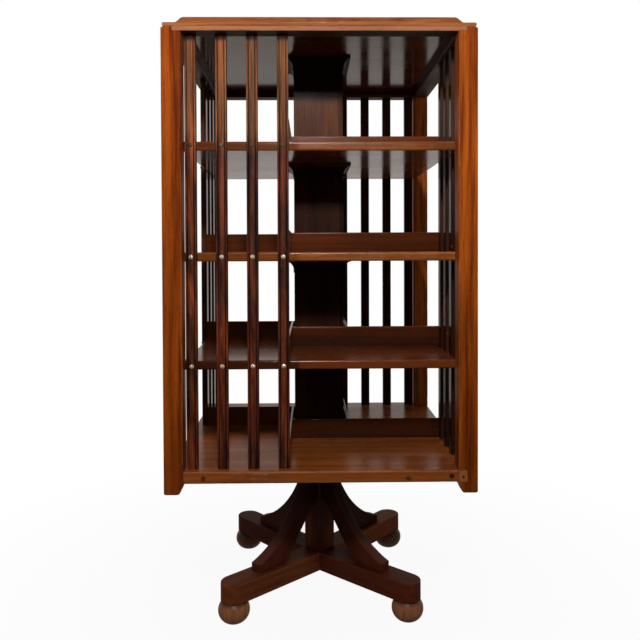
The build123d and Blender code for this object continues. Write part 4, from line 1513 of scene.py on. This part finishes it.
class BOOKCASE_OT_stage(bpy.types.Operator):
    """Set up the camera, the soft lamps, the pale floor and the white surroundings."""
    bl_idname = "bookcase.stage"
    bl_label = "Stage"

    # The least and the most light that a reflection takes from in front and from behind
    MIRRORED = (0.03, 0.62)
    WHITE, WARM_WHITE = (1.0, 1.0, 1.0, 1.0), (1.0, 0.92, 0.86, 1.0)
    KEY_PLACE, KEY_TARGET = (0.0, -1.55, 1.57), (0.0, -0.3, 1.0)
    FILL_PLACE, BACK_PLACE, WIDE_TARGET = (2.2, -1.2, 1.3), (1.8, 2.2, 1.6), (0.0, 0.0, 0.7)

    def execute(self, context):
        scene = context.scene
        settings = scene.bookcase_stage
        scene.view_settings.view_transform = "Standard"
        self.camera(scene, settings)
        self.lamp("key_lamp", self.KEY_PLACE, self.KEY_TARGET, settings.key_size,
                  settings.key_power)
        pairs = {"%s_lamp": (self.FILL_PLACE, settings.fill_power),
                 "back_%s_lamp": (self.BACK_PLACE, settings.back_power)}
        for side, across in {"left": -1.0, "right": 1.0}.items():
            for name, ((x, y, z), watts) in pairs.items():
                self.lamp(name % side, (x * across, y, z), self.WIDE_TARGET, settings.wide_size,
                          watts)
        self.floor(settings)
        self.surroundings(scene, settings)
        return {"FINISHED"}

    @staticmethod
    def camera(scene, settings):
        """Stand the camera where the picture was taken."""
        data = bpy.data.cameras.new("camera")
        data.lens = settings.lens
        data.shift_x, data.shift_y = settings.camera_shift
        camera = bpy.data.objects.new("camera", data)
        pitch, roll, heading = settings.camera_turn
        camera.matrix_world = (
            Matrix.Translation(settings.camera_place) @ Matrix.Rotation(heading, 4, "Z")
            @ Matrix.Rotation(math.pi / 2 + pitch, 4, "X") @ Matrix.Rotation(roll, 4, "Z"))
        scene.collection.objects.link(camera)
        scene.camera = camera

    @staticmethod
    def lamp(name, place, target, size, watts):
        """A square soft lamp that faces a point."""
        data = bpy.data.lights.new(name, "AREA")
        data.size = size
        data.energy = watts
        lamp = bpy.data.objects.new(name, data)
        lamp.location = place
        facing = Vector(target) - Vector(place)
        lamp.rotation_euler = facing.to_track_quat("-Z", "Y").to_euler()
        bpy.context.scene.collection.objects.link(lamp)

    @staticmethod
    def seen(nodes):
        """One for what the eye sees, one for what a mirror sees too, nought for plain light."""
        path = nodes.add("ShaderNodeLightPath").outputs
        seen = nodes.math("MAXIMUM", path["Is Camera Ray"], path["Is Transmission Ray"])
        return seen, nodes.math("MAXIMUM", seen, path["Is Glossy Ray"])

    def warmed(self, nodes, eye):
        """Pure white to the eye, and a little warm in reflections."""
        return nodes.mixed(eye, self.WARM_WHITE, self.WHITE)

    def floor(self, settings):
        """A pale floor that keeps a soft shadow near the feet and goes white further off."""
        squares = 8
        mesh = bmesh.new()
        bmesh.ops.create_grid(mesh, x_segments=squares, y_segments=squares,
                              size=settings.floor_size / 2)
        data = bpy.data.meshes.new("floor")
        mesh.to_mesh(data)
        mesh.free()
        floor = new_piece("floor", data)
        material, nodes, output = new_material("pale_floor")
        place = nodes.place()
        away = nodes.add("ShaderNodeVectorMath", {0: place}, operation="LENGTH").outputs["Value"]
        eye, mirror = self.seen(nodes)
        depth = nodes.parts(place)[1]
        shine = nodes.math("MAXIMUM", eye, nodes.remap(depth, -0.5, 0.3, *self.MIRRORED))
        white = nodes.times(nodes.remap(away, 0.25, 1.1, 0.94, 1.0), mirror)
        speckle = nodes.remap(nodes.cloud(place, (90.0, 90.0, 90.0), 3.0), 0.3, 0.7, 0.32, 0.36)
        paint = nodes.add("ShaderNodeCombineColor", {0: speckle, 1: speckle, 2: speckle})
        matt = nodes.add("ShaderNodeBsdfDiffuse", {"Color": paint.outputs[0]}).outputs[0]
        glow = nodes.add("ShaderNodeEmission", {"Color": self.warmed(nodes, eye),
                                                "Strength": shine}).outputs[0]
        blend = nodes.add("ShaderNodeMixShader", {0: white, 1: matt, 2: glow}).outputs[0]
        nodes.tree.links.new(blend, output.inputs[0])
        data.materials.append(material)

    def surroundings(self, scene, settings):
        """White to the eye, white behind the bookcase in reflections, and low light all round."""
        world = bpy.data.worlds.new("surroundings")
        world.use_nodes = True
        world.node_tree.nodes.clear()
        nodes = Nodes(world.node_tree)
        eye, mirror = self.seen(nodes)
        heading = nodes.parts(nodes.add("ShaderNodeTexCoord").outputs["Generated"])[1]
        behind = nodes.remap(heading, -0.25, 0.35, *self.MIRRORED)
        shine = nodes.math("MAXIMUM", eye, behind)
        strength = nodes.add("ShaderNodeMix", {0: mirror, 2: settings.ambient, 3: shine})
        glow = nodes.add("ShaderNodeBackground", {"Color": self.warmed(nodes, eye),
                                                  "Strength": strength.outputs[0]}).outputs[0]
        output = nodes.add("ShaderNodeOutputWorld")
        nodes.tree.links.new(glow, output.inputs[0])
        scene.world = world


class BOOKCASE_PT_panel(bpy.types.Panel):
    """Lists the makers of the bookcase's pieces and their sizes and colours."""
    bl_idname = "BOOKCASE_PT_panel"
    bl_label = "Revolving Bookcase"
    bl_space_type = "VIEW_3D"
    bl_region_type = "UI"
    bl_category = "Bookcase"

    def draw(self, context):
        """Show a button for each operator and a box for each group of settings."""
        for operator in OPERATORS:
            self.layout.operator(operator.bl_idname)
        for group in GROUPS:
            box = self.layout.box()
            for name in GROUPS[group].__annotations__:
                box.prop(getattr(context.scene, group), name)


OPERATORS = (BOOKCASE_OT_posts, BOOKCASE_OT_shelves, BOOKCASE_OT_top, BOOKCASE_OT_column,
             BOOKCASE_OT_stops, BOOKCASE_OT_slats, BOOKCASE_OT_repairs, BOOKCASE_OT_screws,
             BOOKCASE_OT_pedestal, BOOKCASE_OT_feet, BOOKCASE_OT_gear, BOOKCASE_OT_stage)
GROUPS = {"bookcase_case": BookcaseCase, "bookcase_pedestal": BookcasePedestal,
          "bookcase_finish": BookcaseFinish, "bookcase_stage": BookcaseStage}


def register():
    """Make the classes and settings known to Blender."""
    for entry in (*GROUPS.values(), *OPERATORS, BOOKCASE_PT_panel):
        bpy.utils.register_class(entry)
    for name, group in GROUPS.items():
        setattr(bpy.types.Scene, name, PointerProperty(type=group))


def unregister():
    """Take the classes and settings out again."""
    for name in GROUPS:
        delattr(bpy.types.Scene, name)
    for entry in (BOOKCASE_PT_panel, *reversed(OPERATORS), *reversed(GROUPS.values())):
        bpy.utils.unregister_class(entry)


def main():
    """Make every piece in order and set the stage."""
    register()
    bpy.ops.bookcase.posts()
    bpy.ops.bookcase.shelves()
    bpy.ops.bookcase.top()
    bpy.ops.bookcase.column()
    bpy.ops.bookcase.stops()
    bpy.ops.bookcase.slats()
    bpy.ops.bookcase.repairs()
    bpy.ops.bookcase.screws()
    bpy.ops.bookcase.pedestal()
    bpy.ops.bookcase.feet()
    bpy.ops.bookcase.gear()
    bpy.ops.bookcase.stage()


if __name__ == "__main__":
    main()
